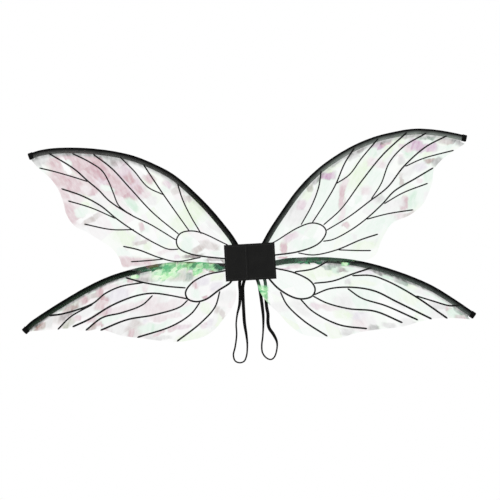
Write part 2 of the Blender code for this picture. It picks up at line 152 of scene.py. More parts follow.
# Its turned edge and seams
HEM = 5.0 * MM
HEM_RISE = 0.45 * MM
STITCH_INSET = 3.9 * MM
STITCH_PITCH = 2.9 * MM
STITCH_LENGTH = 2.1 * MM
STITCH_STANDS = 0.28 * MM   # how far the stitches' middles stand off the cloth
GROOVE_DEPTH = 0.22 * MM
SLACK = 0.35 * MM
FLAP_DROP = 0.35 * MM       # how far the right front panel lies behind the closing flap
# Half the width of the strips that close the spine at its top and bottom
GUSSETS = {"top": 12.6 * MM, "bottom": 5.5 * MM}

# Printed veins of each film, from the cover outwards, as (x, z) in mm; the first one is the closed cell
VEINS = {
    "upper_left": [
        [(-42, 36), (-50, 40), (-95, 63), (-117, 67), (-135, 63), (-143.5, 50), (-140, 35), (-118, 22),
         (-52, 10), (-40, 9)],
        [(-94, 60), (-113, 95), (-128, 129), (-137, 161)],
        [(-117, 66), (-165, 140), (-203, 202)],
        [(-165, 140), (-196, 157), (-222, 190), (-248, 218)],
        [(-138, 61), (-188.5, 106.5), (-230.5, 155.5), (-266.5, 197.5), (-300.5, 225.5)],
        [(-144, 50), (-192, 82), (-229, 102), (-272, 132), (-293, 155), (-313, 173), (-339, 198),
         (-388, 231)],
        [(-228, 102), (-243, 112), (-255, 124), (-264, 148), (-273, 172), (-285, 193), (-309, 211),
         (-342, 229)],
        [(-313, 172), (-349, 185), (-383, 196), (-408, 203)],
        [(-140, 32), (-159, 32.5), (-184, 44.4), (-227.4, 72.4), (-261.4, 98.4), (-288.4, 122.4),
         (-325.4, 144.4), (-366, 160.4)],
        [(-261, 97), (-308, 120), (-354, 136)],
        [(-226, 74), (-271, 76), (-324, 89)],
        [(-97, 14), (-145, 8), (-179, 17), (-219, 34), (-249, 42)],
        [(-167, 14), (-198, 12), (-235, 11)]],
    "upper_right": [
        [(42, 36), (50, 39), (97, 65), (126, 73), (146, 66), (152, 55), (143, 38), (127, 27), (92, 17),
         (52, 13), (40, 12)],
        [(103, 70), (127, 110), (141, 144), (147, 175)],
        [(125, 73), (154, 114), (174, 146), (194, 188), (214, 217)],
        [(173, 147), (202, 165), (228, 197), (262, 234)],
        [(147, 68), (183, 98), (227, 153), (270, 202), (319, 244)],
        [(152, 57), (199, 83), (238, 110), (277, 138), (310, 177), (355, 214), (397, 234)],
        [(243, 115), (264, 145), (282, 186), (311, 216), (357, 241)],
        [(313, 177), (348, 191), (410, 205)],
        [(145, 36), (165, 39), (204, 58), (236, 80), (266, 106), (289, 129), (331, 152), (368, 172)],
        [(268, 105), (306, 125), (356, 142)],
        [(233, 76), (274, 85), (325, 91)],
        [(95, 15), (126, 10), (171, 18), (219, 36), (254, 46)],
        [(174, 18), (215, 15), (239, 14)]],
    "lower_left": [
        [(-44, -13), (-54, -15), (-88, -21), (-117, -36), (-130, -54), (-126, -67), (-110, -73),
         (-90, -69), (-64, -52), (-42, -39), (-36, -32)],
        [(-129, -45), (-169, -40), (-212, -31), (-247, -20)],
        [(-212, -31), (-257, -37), (-289, -50), (-315, -69), (-372, -86), (-401, -89)],
        [(-314, -70), (-359, -93), (-385, -117)],
        [(-126, -67), (-163, -58), (-195, -53), (-229, -57), (-277, -74), (-322, -99), (-356, -113)],
        [(-195, -57), (-216, -75), (-258, -89), (-296, -97), (-330, -121)],
        [(-126, -69), (-142, -82), (-196, -96), (-247, -103), (-301, -122)],
        [(-102, -74), (-120, -96), (-159, -119), (-229, -139)],
        [(-62, -54), (-73, -85), (-102, -115), (-151, -150)]],
    "lower_right": [
        [(42, -12), (51, -14), (87, -24), (118, -42), (126, -58), (120, -71), (101, -76), (82, -72),
         (54, -54), (38, -36), (34, -30)],
        [(87, -22), (125, -17), (154, -3)],
        [(124, -46), (162, -43), (200, -31), (239, -20)],
        [(200, -34), (238, -35.5), (271, -48.5), (321, -78.5), (385, -126)],
        [(325, -79), (359, -91), (390, -101), (409, -101)],
        [(123, -69), (155, -58), (199, -57), (243, -66), (286, -89), (354, -126)],
        [(190, -59), (217, -79), (264, -96), (327, -127)],
        [(121, -71), (148, -86), (191, -99), (242, -106), (296, -131)],
        [(96, -76), (119, -101), (171, -130), (226, -140)],
        [(57, -60), (69, -86), (102, -120), (147, -152)]],
}

# What a patch of the film shows in front of white: its own colour and how much it covers
FILM_LOOKS = {
    "pink": ((0.42, 0.12, 0.19), 0.46),
    "blush": ((0.44, 0.20, 0.26), 0.24),
    "rose": ((0.38, 0.08, 0.13), 0.48),
    "rust": ((0.24, 0.10, 0.07), 0.66),
    "brown": ((0.26, 0.17, 0.14), 0.37),
    "umber": ((0.17, 0.12, 0.12), 0.61),
    "violet": ((0.42, 0.14, 0.36), 0.53),
    "orchid": ((0.44, 0.18, 0.32), 0.34),
    "lavender": ((0.38, 0.30, 0.46), 0.25),
    "mint": ((0.20, 0.62, 0.34), 0.16),
    "green": ((0.14, 0.58, 0.26), 0.25),
    "lime": ((0.38, 0.70, 0.16), 0.21),
    "sage": ((0.10, 0.22, 0.14), 0.59),
    "olive": ((0.20, 0.22, 0.09), 0.47),
    "haze": ((0.22, 0.22, 0.21), 0.15),
    "grey": ((0.16, 0.17, 0.16), 0.30),
    "ash": ((0.07, 0.08, 0.07), 0.59),
    "clear": ((0.80, 0.84, 0.82), 0.03),
}
# Painted reflections: crumpled green patches where the film reflects the lamps, which hide what is behind,
# and the stretch of the green tones that each one shows
PAINTED_REFLECTIONS = {"dark_reflection": (0.0, 0.42), "green_reflection": (0.4, 0.92), "glint": (0.62, 1.0)}
REFLECTION_TONES = [(0.0, (0.002, 0.02, 0.014)), (0.3, (0.004, 0.14, 0.06)), (0.5, (0.05, 0.42, 0.16)),
               (0.75, (0.42, 0.84, 0.42)), (1.0, (0.84, 0.97, 0.74))]
REFLECTION_COVER = 0.9
# Faint tints of the facets between the patches
TINTS = {
    "upper_left": ["clear", "mint", "lime", "clear", "grey", "pink"],
    "upper_right": ["clear", "mint", "green", "lime", "mint", "grey"],
    "lower_left": ["clear", "grey", "mint", "blush", "pink", "clear"],
    "lower_right": ["clear", "mint", "mint", "lime", "clear", "grey"],
}
# Patches of each film: look, middle (x, z), half length and half width in mm, tilt in degrees; the teal,
# emerald and glint patches are painted reflections of the lamps in the crumpled film
BLOOMS = {
    "upper_left": [
        ("blush", -290, 188, 64, 25, -44), ("blush", -352, 140, 46, 13, -68),
        ("lime", -118, 102, 34, 18, 48), ("grey", -268, 212, 28, 7, -22),
        ("umber", -251, 208, 12, 5, -10), ("grey", -409, 217, 17, 9, -8), ("pink", -352, 222, 24, 6, 8),
        ("rose", -373, 208, 15, 12, -35), ("pink", -318, 194, 40, 15, -40),
        ("rose", -322, 205, 14, 8, -40), ("pink", -284, 193, 42, 13, -46),
        ("rose", -296, 216, 10, 7, -40), ("rose", -257, 168, 11, 6, -45),
        ("pink", -256, 155, 36, 9, -18), ("orchid", -228, 170, 32, 13, -52),
        ("rose", -233, 176, 9, 7, -50), ("pink", -216, 155, 9, 7, -50), ("orchid", -288, 170, 8, 8, -40),
        ("blush", -199, 142, 8, 6, 0), ("pink", -355, 172, 34, 14, -22), ("rose", -371, 176, 10, 8, -20),
        ("pink", -303, 155, 9, 8, 0), ("blush", -318, 156, 9, 6, -20), ("clear", -357, 203, 14, 4, -62),
        ("mint", -351, 209, 6, 5, -60), ("blush", -338, 139, 13, 6, -10),
        ("pink", -362, 148, 10, 5, -60), ("pink", -349, 110, 19, 11, -62),
        ("mint", -327, 114, 10, 8, 20), ("lime", -320, 128, 6, 4, 0), ("clear", -314, 103, 18, 3.5, 26),
        ("brown", -305, 99, 17, 5, 30), ("haze", -290, 128, 13, 9, -30), ("mint", -275, 157, 9, 5, -20),
        ("green", -230, 125, 13, 7, -52), ("mint", -256, 105, 13, 6, -32), ("mint", -204, 75, 8, 6, 0),
        ("lime", -242, 57, 21, 11, -30), ("mint", -250, 30, 9, 6, 0), ("lime", -200, 40, 8, 6, 0),
        ("mint", -170, 48, 9, 7, -30), ("mint", -162, 150, 8, 6, 0), ("mint", -140, 118, 9, 7, 0),
        ("haze", -190, 130, 8, 7, 0), ("pink", -192, 172, 9, 7, -45), ("orchid", -158, 161, 8, 6, -40),
        ("brown", -138, 146, 8, 6, 0), ("brown", -118, 130, 7, 5, 40), ("haze", -70, 72, 16, 4, -42),
        ("mint", -124, 42, 9, 13, 0), ("brown", -102, 34, 13, 5.5, 35), ("brown", -76, 38, 13, 6, -14),
        ("mint", -70, 22, 11, 4, 0), ("pink", -212, 79, 7, 3.5, -62), ("haze", -220, 57, 9, 4, 56),
        ("brown", -212, 49, 13, 4, 8), ("blush", -165, 27, 15, 3.5, 10), ("umber", -114, 18, 17, 3.5, 8),
        ("orchid", -142, 15, 4, 4, 0), ("pink", -222, 10, 32, 8, -4), ("rose", -244, 7, 8, 6, 0),
        ("umber", -70, 6.5, 16, 3, -4)],
    "upper_right": [
        ("lime", 225, 168, 32, 14, 50), ("mint", 153, 134, 32, 9, 68), ("mint", 166, 110, 30, 12, 55),
        ("haze", 97, 96, 25, 13, 52), ("lime", 117, 130, 11, 7, 60), ("lime", 169, 181, 14, 8, 38),
        ("sage", 180, 191, 12, 3.5, 38), ("violet", 161, 165, 12, 6.5, -6), ("ash", 136, 157, 9, 5, 48),
        ("olive", 123, 143, 5, 6, 0), ("umber", 197, 201, 8, 4, 35), ("umber", 219, 212, 18, 5, 24),
        ("grey", 212, 199, 9, 5, 30), ("blush", 190, 146, 12, 5, 70), ("pink", 186, 122, 20, 5, 84),
        ("blush", 186, 93, 9, 4, 80), ("blush", 182, 82, 5, 4, 0), ("pink", 192, 65, 7, 5, -40),
        ("orchid", 103, 111, 7, 7, 0), ("orchid", 82, 48, 13, 7, 20), ("pink", 67, 27, 10, 6, 80),
        ("mint", 108, 32, 20, 8, 16), ("pink", 66, 9, 11, 2, 0), ("mint", 195, 40, 11, 5, 10),
        ("haze", 206, 42, 5, 4, 70), ("blush", 233, 133, 9, 8, 0), ("mint", 216, 117, 6, 6, 0),
        ("violet", 263, 221, 14, 5, 14), ("rose", 281, 226, 9, 3.5, 14),
        ("umber", 286, 232, 16, 3.5, 16), ("lime", 285, 215, 27, 6, 52), ("green", 248, 207, 9, 6, 30),
        ("blush", 247, 188, 8, 7, 0), ("blush", 265, 184, 9, 6, 20), ("mint", 250, 157, 12, 13, 0),
        ("blush", 304, 194, 5, 8, 0), ("grey", 306, 186, 5, 6, 0), ("orchid", 311, 218, 8, 4, 10),
        ("green", 320, 200, 8, 8, 0), ("olive", 327, 237, 17, 4, 6), ("lime", 309, 227, 5, 5, 0),
        ("blush", 321, 213, 6, 5, 0), ("violet", 339, 217, 14, 9.5, -22),
        ("violet", 366, 211, 12, 8.5, 18), ("mint", 359, 223, 8, 4, 0), ("sage", 355, 233, 13, 4, -4),
        ("brown", 404, 223, 20, 7, -16), ("ash", 419, 220, 9, 7, -30), ("mint", 396, 211, 14, 4, 10),
        ("mint", 382, 195, 11, 5, 10), ("lime", 354, 199, 12, 3.5, 10), ("rust", 361, 185, 9, 5, 0),
        ("ash", 376, 183, 10, 5, 38), ("haze", 322, 172, 18, 8, 24), ("lavender", 342, 174, 9, 7, 20),
        ("brown", 305, 152, 9, 4, 84), ("green", 357, 155, 11, 9, 20), ("blush", 338, 147, 5, 4, 0),
        ("green", 325, 111, 15, 8, 82), ("mint", 345, 120, 17, 8, 76), ("haze", 353, 114, 9, 4, 76),
        ("pink", 308, 105, 12, 5, 82), ("haze", 285, 103, 18, 8, 14), ("grey", 260, 116, 8, 6, 30),
        ("blush", 297, 80, 14, 5, 10), ("brown", 318, 84, 10, 3, 16), ("mint", 262, 66, 24, 10, 10),
        ("mint", 245, 102, 7, 6, 0), ("lime", 226, 24, 20, 8, 4)],
    "lower_left": [
        ("blush", -232, -78, 42, 8, 14), ("blush", -182, -82, 32, 9, 12), ("haze", -330, -83, 20, 7, 30),
        ("rust", -420, -110, 11, 7, 20), ("grey", -399, -104, 11, 6, 80), ("brown", -382, -98, 9, 8, 0),
        ("umber", -365, -89, 15, 5, 36), ("olive", -363, -106, 13, 5, 40), ("pink", -346, -98, 7, 5, 0),
        ("green", -374, -77, 14, 3.5, 27), ("olive", -350, -64, 13, 4.5, 33),
        ("rust", -357, -76, 13, 4, 22), ("rose", -331, -59, 10, 6, 36), ("mint", -316, -46, 10, 3, 28),
        ("brown", -313, -51, 10, 4, 20), ("rose", -299, -45, 8, 8, 0), ("rose", -295, -69, 15, 10, 62),
        ("orchid", -283, -83, 7, 6, 0), ("rose", -304, -95, 18, 4.5, 26),
        ("lavender", -261, -54, 17, 12, 0), ("blush", -275, -35, 16, 3.5, 12),
        ("green", -253, -25, 10, 3.5, 12), ("rose", -307, -110, 9, 5, 10),
        ("rust", -320, -117, 9, 4, 12), ("pink", -286, -123, 8, 4, 0), ("haze", -265, -120, 15, 11, 0),
        ("mint", -275, -98, 24, 5, 8), ("brown", -232, -121, 15, 14, 60), ("rose", -242, -131, 7, 5, 70),
        ("lavender", -209, -108, 6, 4, 0), ("green", -203, -122, 17, 7, 10),
        ("mint", -172, -114, 13, 5, 15), ("blush", -177, -101, 22, 5, 6), ("blush", -207, -43, 6, 5, 0),
        ("mint", -187, -46, 13, 5, 0), ("pink", -239, -25, 6, 3.5, -8), ("mint", -155, -37, 33, 6, 0),
        ("blush", -111, -41, 8, 6, 60), ("pink", -114, -40, 4, 6, 0), ("lavender", -97, -34, 9, 6, 10),
        ("mint", -112, -57, 8, 7, 0), ("lavender", -70, -45, 10, 6, 20), ("lime", -68, -26, 12, 5, 12),
        ("pink", -93, -63, 5, 2.5, 10), ("haze", -47, -66, 13, 9, 30), ("lime", -93, -86, 9, 9, 0),
        ("brown", -71, -92, 7, 4, 70), ("lime", -64, -113, 12, 7, 80), ("brown", -60, -100, 8, 4, -60),
        ("orchid", -95, -120, 8, 5, 30), ("lavender", -86, -117, 8, 5, 80),
        ("pink", -158, -126, 9, 4, 20), ("pink", -186, -133, 11, 3, 20),
        ("orchid", -138, -122, 13, 4, 10), ("grey", -188, -143, 22, 4, -2),
        ("lime", -120, -142, 26, 6, 12), ("mint", -128, -87, 13, 7, 15), ("blush", -148, -98, 6, 5, 0),
        ("umber", -210, -26, 14, 4.5, -10), ("brown", -203, -19, 14, 4, -6),
        ("olive", -138, -23, 20, 8, 0), ("glint", -170, -14, 25, 11, 6),
        ("green_reflection", -166, -1, 14, 7, 14), ("glint", -140, -3, 13, 9, 0), ("green_reflection", -121, -1, 9, 6, 0),
        ("sage", -124, -22, 6, 7, 0), ("glint", -103, -14, 10, 6, 20), ("green_reflection", -101, -1, 12, 7, 10),
        ("green_reflection", -78, -5, 14, 6, -14), ("dark_reflection", -62, -6, 8, 5, -10), ("rust", -77, -14, 5, 2.5, 0),
        ("dark_reflection", -196, -4, 18, 5, 14), ("glint", -230, -18, 7, 2.5, 10),
        ("sage", -212, -15, 13, 3.5, 6)],
    "lower_right": [
        ("lime", 150, -26, 28, 8, 0), ("mint", 222, -42, 24, 6, -6), ("lime", 216, -51, 22, 4, -4),
        ("mint", 224, -78, 22, 16, -14), ("haze", 180, -92, 15, 18, 10), ("haze", 53, -92, 15, 8, 0),
        ("green", 78, -8, 8, 3, 0), ("dark_reflection", 121, -4, 20, 2.5, 2), ("blush", 88, -12, 12, 3, 0),
        ("orchid", 66, -13, 10, 2.5, -6), ("sage", 153, -15, 11, 4, -10), ("sage", 169, -12, 12, 5, -12),
        ("green_reflection", 188, -11, 5, 3, -10), ("green", 173, -22, 8, 4, 0), ("umber", 184, -22, 9, 4, -8),
        ("green", 198, -22, 8, 4, -10), ("lavender", 226, -28, 17, 4, -6), ("grey", 190, -46, 5, 4, 0),
        ("orchid", 124, -91, 9, 6, -30), ("blush", 150, -96, 16, 5, -16), ("haze", 96, -92, 18, 9, -40),
        ("lavender", 212, -115, 16, 8, 0), ("blush", 216, -133, 18, 11, -6),
        ("haze", 235, -127, 7, 9, 0), ("ash", 240, -141, 8, 5, -20), ("grey", 185, -145, 10, 6, -10),
        ("lime", 178, -112, 14, 8, -10), ("ash", 250, -28, 13, 3, -28),
        ("green", 274, -39, 12, 3.5, -22), ("grey", 289, -45, 8, 3.5, -20),
        ("sage", 311, -54, 20, 4.5, -26), ("lime", 322, -64, 13, 4, -20), ("haze", 340, -74, 14, 6, -30),
        ("green", 371, -88, 24, 3, -28), ("mint", 295, -71, 14, 9, -50), ("lime", 316, -88, 23, 9, -33),
        ("mint", 340, -107, 17, 7, -28), ("grey", 371, -103, 18, 5, -12), ("rose", 389, -107, 4, 4, 0),
        ("haze", 370, -119, 17, 8, -10), ("green", 396, -114, 8, 6, -20),
        ("sage", 413, -115, 17, 4.5, -46), ("brown", 408, -123, 8, 4, -10),
        ("pink", 410, -128, 9, 2.5, 0), ("grey", 315, -132, 6, 4, -20), ("haze", 304, -130, 11, 6, 0),
        ("grey", 270, -137, 12, 4, -8), ("lime", 329, -116, 6, 4, 0), ("green_reflection", 20, -54, 10, 7, 0),
        ("glint", 27, -66, 6, 12, 0), ("green_reflection", 31, -89, 5, 8, 0)],
}
# Folds of each film: direction of the ridges in degrees, ridge to valley and height in mm
FOLDS = {
    "upper_left": [(-42, 34, 1.9), (-64, 22, 1.2), (34, 47, 1.6)],
    "upper_right": [(46, 34, 1.9), (66, 22, 1.2), (-30, 47, 1.6)],
    "lower_left": [(36, 31, 1.6), (74, 23, 1.1), (-16, 42, 1.4)],
    "lower_right": [(-30, 31, 1.6), (-68, 23, 1.1), (14, 42, 1.4)],
}
# Finer folds of every film: turn from its first fold in degrees, ridge to valley and height in mm
SMALL_FOLDS = [(58, 9.5, 0.5), (-20, 5.5, 0.22), (80, 4.3, 0.18)]
STIFF_SHARE = 0.03          # of the small folds, where the film is held flat
BILLOW = 3.2                # slow swell of the whole film, in mm
# Distances from the pivot over which the film comes free of the cover, and distances from the rod over
# which it comes free of its sleeve and swells
COVER_FREE = (66 * MM, 130 * MM)
SLEEVE_FREE = (3 * MM, 30 * MM)
SWELL_FREE = (20 * MM, 160 * MM)
# Where the lower left film is drawn right over its rod, as a span of x, and how softly it starts and ends
ROOT_LAP = (-184 * MM, -58 * MM)
ROOT_LAP_EASE = (14 * MM, 8 * MM)

# End cap's profile along the rod, as distance past the sleeve's end in mm and share of its full size
CAP_PROFILE = [(-8.0, 0.93), (-7.9, 1.03), (-7.4, 1.06), (-6.9, 1.03), (-6.7, 0.97), (-4, 0.98),
               (-1.6, 1.0), (-0.4, 0.985), (0.4, 0.93), (0.9, 0.84), (1.2, 0.68), (1.3, 0.45)]


# ---------------------------------------------------------------- lines

def resampled(points, step):
    """The same line with evenly spaced points about step apart."""
    points = np.asarray(points, float)
    run = distances(points)
    count = max(2, round(run[-1] / step) + 1)
    at = np.linspace(0, run[-1], count)
    return np.stack([np.interp(at, run, column) for column in points.T], axis=1)


def distances(line):
    """How far along the line each of its points lies."""
    return np.concatenate([[0.0], np.cumsum(np.linalg.norm(np.diff(line, axis=0), axis=1))])


def smooth_line(route, per_span=12):
    """A centripetal Catmull-Rom curve through every point of the route."""
    route = np.asarray(route, float)
    route = np.vstack([2 * route[0] - route[1], route, 2 * route[-1] - route[-2]])
    line = []
    for a, b, c, d in zip(route, route[1:], route[2:], route[3:]):
        t1 = np.linalg.norm(b - a) ** 0.5
        t2 = t1 + np.linalg.norm(c - b) ** 0.5
        t3 = t2 + np.linalg.norm(d - c) ** 0.5
        for t in np.linspace(t1, t2, per_span, endpoint=False):
            ab = a + (b - a) * t / t1
            bc = b + (c - b) * (t - t1) / (t2 - t1)
            cd = c + (d - c) * (t - t2) / (t3 - t2)
            abc = ab + (bc - ab) * t / t2
            bcd = bc + (cd - bc) * (t - t1) / (t3 - t1)
            line.append(abc + (bcd - abc) * (t - t1) / (t2 - t1))
    return np.array(line + [route[-2]])


def headings(line):
    """Unit vectors along the line."""
    along = np.gradient(line, axis=0)
    return along / np.linalg.norm(along, axis=1)[:, None]


def smoothstep(x, low, high):
    """A soft step from 0 at low to 1 at high, for arrays."""
    t = np.clip((x - low) / (high - low), 0, 1)
    return t * t * (3 - 2 * t)


# ---------------------------------------------------------------- meshes

def add_mesh(name, vertices, faces, material, sharp=40):
    """A mesh object in the row frame with its faces turned outwards and shaded smooth up to an angle."""
    mesh = bpy.data.meshes.new(name)
    mesh.from_pydata([tuple(v) for v in vertices], [], faces)
    shape = bmesh.new()
    shape.from_mesh(mesh)
    bmesh.ops.recalc_face_normals(shape, faces=shape.faces)
    shape.to_mesh(mesh)
    shape.free()
    mesh.shade_smooth()
    mesh.set_sharp_from_angle(angle=math.radians(sharp))
    mesh.materials.append(material)
    piece = bpy.data.objects.new(name, mesh)
    bpy.context.scene.collection.objects.link(piece)
    return piece


def mark(piece, name, values):
    """Give each vertex a number or a vector that the piece's material reads."""
    values = np.asarray(values, np.float32)
    kind, key = ("FLOAT", "value") if values.ndim == 1 else ("FLOAT_VECTOR", "vector")
    marks = piece.data.attributes.new(name, kind, "POINT")
    marks.data.foreach_set(key, values.ravel())


def loft(rings):
    """Vertices and faces of a closed tube through rings of equally many points, with both ends capped."""
    rings = np.asarray(rings)
    count, around = rings.shape[:2]
    faces = []
    for i in range(count - 1):
        for j in range(around):
            k = (j + 1) % around
            faces.append((i * around + j, i * around + k, (i + 1) * around + k, (i + 1) * around + j))
    faces.append(tuple(reversed(range(around))))
    faces.append(tuple(range((count - 1) * around, count * around)))
    return rings.reshape(-1, 3), faces


def joined(shapes):
    """Several (vertices, faces) as one."""
    vertices, faces, base = [], [], 0
    for points, polygons in shapes:
        vertices.append(points)
        faces += [tuple(base + i for i in polygon) for polygon in polygons]
        base += len(points)
    return np.vstack(vertices), faces


def welded(node):
    """A CAD node's mesh as a bmesh with its doubled vertices merged."""
    shape = bmesh.new()
    shape.from_mesh(frame["nodes"][node].data)
    bmesh.ops.remove_doubles(shape, verts=shape.verts, dist=1e-6)
    return shape


# ---------------------------------------------------------------- what the CAD parts say

def joint_place(name):
    """A point on the joint's axis."""
    return next(joint["pos_m"] for joint in frame["joints"] if joint["name"] == name)


def pivot_of(wing):
    """The wing's swing axis, as (x, z)."""
    x, _, z = joint_place(f"{wing}_swing")
    return np.array([x, z])


def sign_of(wing):
    """-1 on the left side and 1 on the right."""
    return SIDES[wing.split("_")[1]]


def depth_of(node_name):
    """The middle and half the depth of a CAD node, along Y."""
    low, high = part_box(node_name)
    return (low.y + high.y) / 2, (high.y - low.y) / 2


def middle_line(wing):
    """The sleeve's middle line from root to tip, as (x, z), read from the rings of its CAD mesh."""
    shape = welded(f"{wing}_sleeve")
    short = 12 * MM
    left = set(shape.verts)
    middles = []
    while left:
        ring, edge = set(), [left.pop()]
        while edge:
            vertex = edge.pop()
            ring.add(vertex)
            for link in vertex.link_edges:
                other = link.other_vert(vertex)
                if other in left and link.calc_length() < short:
                    left.remove(other)
                    edge.append(other)
        middles.append(np.mean([(v.co.x, v.co.z) for v in ring], axis=0))
    shape.free()
    middles.sort(key=lambda point: np.linalg.norm(point - pivot_of(wing)))
    line = [middles[0]]
    for point in middles[1:]:
        if np.linalg.norm(point - line[-1]) > 5 * MM:
            line.append(point)
    return smooth_line(line)


def film_outline(wing):
    """The film's edge as (x, z) points in order, from its outer CAD face."""
    shape = welded(f"{wing}_film")
    outer = {face for face in shape.faces if face.normal.y < -0.9}
    follows = {}
    for face in outer:
        for loop in face.loops:
            if not any(other in outer for other in loop.edge.link_faces if other != face):
                follows[loop.vert] = loop.link_loop_next.vert
    vertex = next(iter(follows))
    outline = []
    for _ in range(len(follows)):
        outline.append((vertex.co.x, vertex.co.z))
        vertex = follows[vertex]
    shape.free()
    return np.array(outline)


# ---------------------------------------------------------------- material helpers

def new_material(name):
    """A node material, with its Principled shader."""
    material = bpy.data.materials.new(name)
    material.use_nodes = True
    return material, material.node_tree.nodes["Principled BSDF"]


def set_inputs(material, made, inputs):
    """Set a node's inputs; each gets a plain value or another node's output."""
    for socket, value in inputs.items():
        if isinstance(value, bpy.types.NodeSocket):
            material.node_tree.links.new(value, made.inputs[socket])
        else:
            made.inputs[socket].default_value = value


def node(material, kind, inputs=None, **settings):
    """A shader node with its settings and inputs."""
    made = material.node_tree.nodes.new(kind)
    for key, value in settings.items():
        setattr(made, key, value)
    set_inputs(material, made, inputs or {})
    return made


def show(material, surface):
    """Make a shader the material's surface."""
    set_inputs(material, material.node_tree.nodes["Material Output"], {"Surface": surface})


def place(material):
    """Coordinates that stay with the piece."""
    return node(material, "ShaderNodeTexCoord").outputs["Object"]


def noise(material, vector, scale, detail=2.0):
    """A noise texture."""
    return node(material, "ShaderNodeTexNoise", {"Vector": vector, "Scale": scale, "Detail": detail})


def waves(material, vector, pitch, direction):
    """A smooth 0 to 1 wave along one axis."""
    turns = 2 * math.pi / (20 * pitch)
    return node(material, "ShaderNodeTexWave", {"Vector": vector, "Scale": turns}, wave_type="BANDS",
                bands_direction=direction, wave_profile="SIN").outputs["Fac"]


def in_range(material, value, low, high, to_low, to_high):
    """A value mapped from one range to another and kept inside it."""
    made = node(material, "ShaderNodeMapRange", {"Value": value, "From Min": low, "From Max": high,
                                                 "To Min": to_low, "To Max": to_high})
    return made.outputs["Result"]


def faded(material, value, low, high):
    """A soft step from 0 at low to 1 at high, for a shader value."""
    return node(material, "ShaderNodeMapRange", {"Value": value, "From Min": low, "From Max": high},
                interpolation_type="SMOOTHSTEP").outputs["Result"]


def maths(material, operation, first, second=0.5):
    """A sum, product or the like of two numbers."""
    return node(material, "ShaderNodeMath", {0: first, 1: second}, operation=operation).outputs[0]


def mixed(material, kind, factor, first, second):
    """A mix of two numbers, vectors or colours."""
    sockets = {"FLOAT": (2, 3, 0), "VECTOR": (4, 5, 1), "RGBA": (6, 7, 2)}[kind]
    made = node(material, "ShaderNodeMix", {0: factor, sockets[0]: first, sockets[1]: second},
                data_type=kind)
    return made.outputs[sockets[2]]


def bumped(material, shader, height, distance, strength=1.0):
    """Give a shader fine relief, with its height in metres."""
    bump = node(material, "ShaderNodeBump", {"Height": height, "Distance": distance, "Strength": strength})
    set_inputs(material, shader, {"Normal": bump.outputs["Normal"]})


def ramp(material, factor, stops):
    """A colour ramp; a stop is (position, grey or colour)."""
    made = node(material, "ShaderNodeValToRGB", {"Fac": factor})
    elements = made.color_ramp.elements
    while len(elements) < len(stops):
        elements.new(0.5)
    for element, (position, colour) in zip(elements, stops):
        element.position = position
        element.color = (*colour, 1)
    return made.outputs["Color"]


# ---------------------------------------------------------------- materials

def cloth_material():
    """Plain-woven matt black polyester: crossing threads, faint blotches and lint."""
    material, shader = new_material("cover_cloth")
    at = place(material)
    across = waves(material, at, 0.75 * MM, "X")
    along = waves(material, at, 0.75 * MM, "Z")
    weave = maths(material, "MULTIPLY", across, along)
    blotch = noise(material, at, 60, 4).outputs["Fac"]
    tone = maths(material, "ADD", maths(material, "MULTIPLY", weave, 0.35),
                 maths(material, "MULTIPLY", blotch, 0.65))
    colour = ramp(material, tone, [(0.25, (0.0042, 0.0042, 0.004)), (0.75, (0.0135, 0.0135, 0.0128))])
    set_inputs(material, shader, {
        "Base Color": colour, "Roughness": in_range(material, blotch, 0.3, 0.7, 0.86, 0.98),
        "Specular IOR Level": 0.18, "Sheen Weight": 0.04, "Sheen Roughness": 0.5})
    bumped(material, shader, weave, 0.00012, 0.8)
    return material


def elastic_material():
    """Braided black elastic: fine cross threads over the ribs."""
    material, shader = new_material("strap_elastic")
    at = place(material)
    threads = waves(material, at, 0.9 * MM, "Z")
    fuzz = noise(material, at, 900, 2).outputs["Fac"]
    tone = mixed(material, "FLOAT", 0.5, threads, fuzz)
    colour = ramp(material, tone, [(0.2, (0.0015, 0.0015, 0.0015)), (0.8, (0.006, 0.006, 0.0058))])
    set_inputs(material, shader, {
        "Base Color": colour, "Roughness": in_range(material, fuzz, 0.3, 0.7, 0.75, 0.92),
        "Specular IOR Level": 0.1})
    bumped(material, shader, tone, 0.0002, 0.7)
    return material


def thread_material():
    """Twisted black sewing thread."""
    material, shader = new_material("sewing_thread")
    at = place(material)
    twist = node(material, "ShaderNodeTexWave", {"Vector": at, "Scale": 900.0, "Distortion": 1.5},
                 wave_type="BANDS", bands_direction="DIAGONAL").outputs["Fac"]
    colour = ramp(material, twist, [(0.0, (0.010, 0.010, 0.010)), (1.0, (0.038, 0.038, 0.037))])
    set_inputs(material, shader, {
        "Base Color": colour, "Roughness": in_range(material, twist, 0, 1, 0.55, 0.75)})
    bumped(material, shader, twist, 0.0001, 0.6)
    return material


def sleeve_material():
    """Soft black plastic sleeve with faint scuffs, and grey painted into its colour as the reflection of
    the white room in the film in front of it.
    """
    material, shader = new_material("rod_sleeve")
    at = place(material)
    scuffs = noise(material, at, 140, 5).outputs["Fac"]
    colour = ramp(material, scuffs, [(0.35, (0.0006, 0.0007, 0.0007)), (0.75, (0.0022, 0.0024, 0.0023))])
    # Painted reflection: grey added to the black, vertex by vertex, for the white room reflected in the
    # film over the sleeve
    haze = node(material, "ShaderNodeAttribute", attribute_name="haze").outputs["Vector"]
    blotch = in_range(material, noise(material, at, 45, 3).outputs["Fac"], 0.3, 0.7, 0.65, 1.35)
    colour = node(material, "ShaderNodeVectorMath", {0: haze, 1: blotch, 2: colour},
                  operation="MULTIPLY_ADD").outputs["Vector"]
    set_inputs(material, shader, {
        "Base Color": colour, "Roughness": in_range(material, scuffs, 0.3, 0.7, 0.38, 0.58),
        "Specular IOR Level": 0.03})
    bumped(material, shader, noise(material, at, 420, 3).outputs["Fac"], 0.0002, 0.4)
    return material


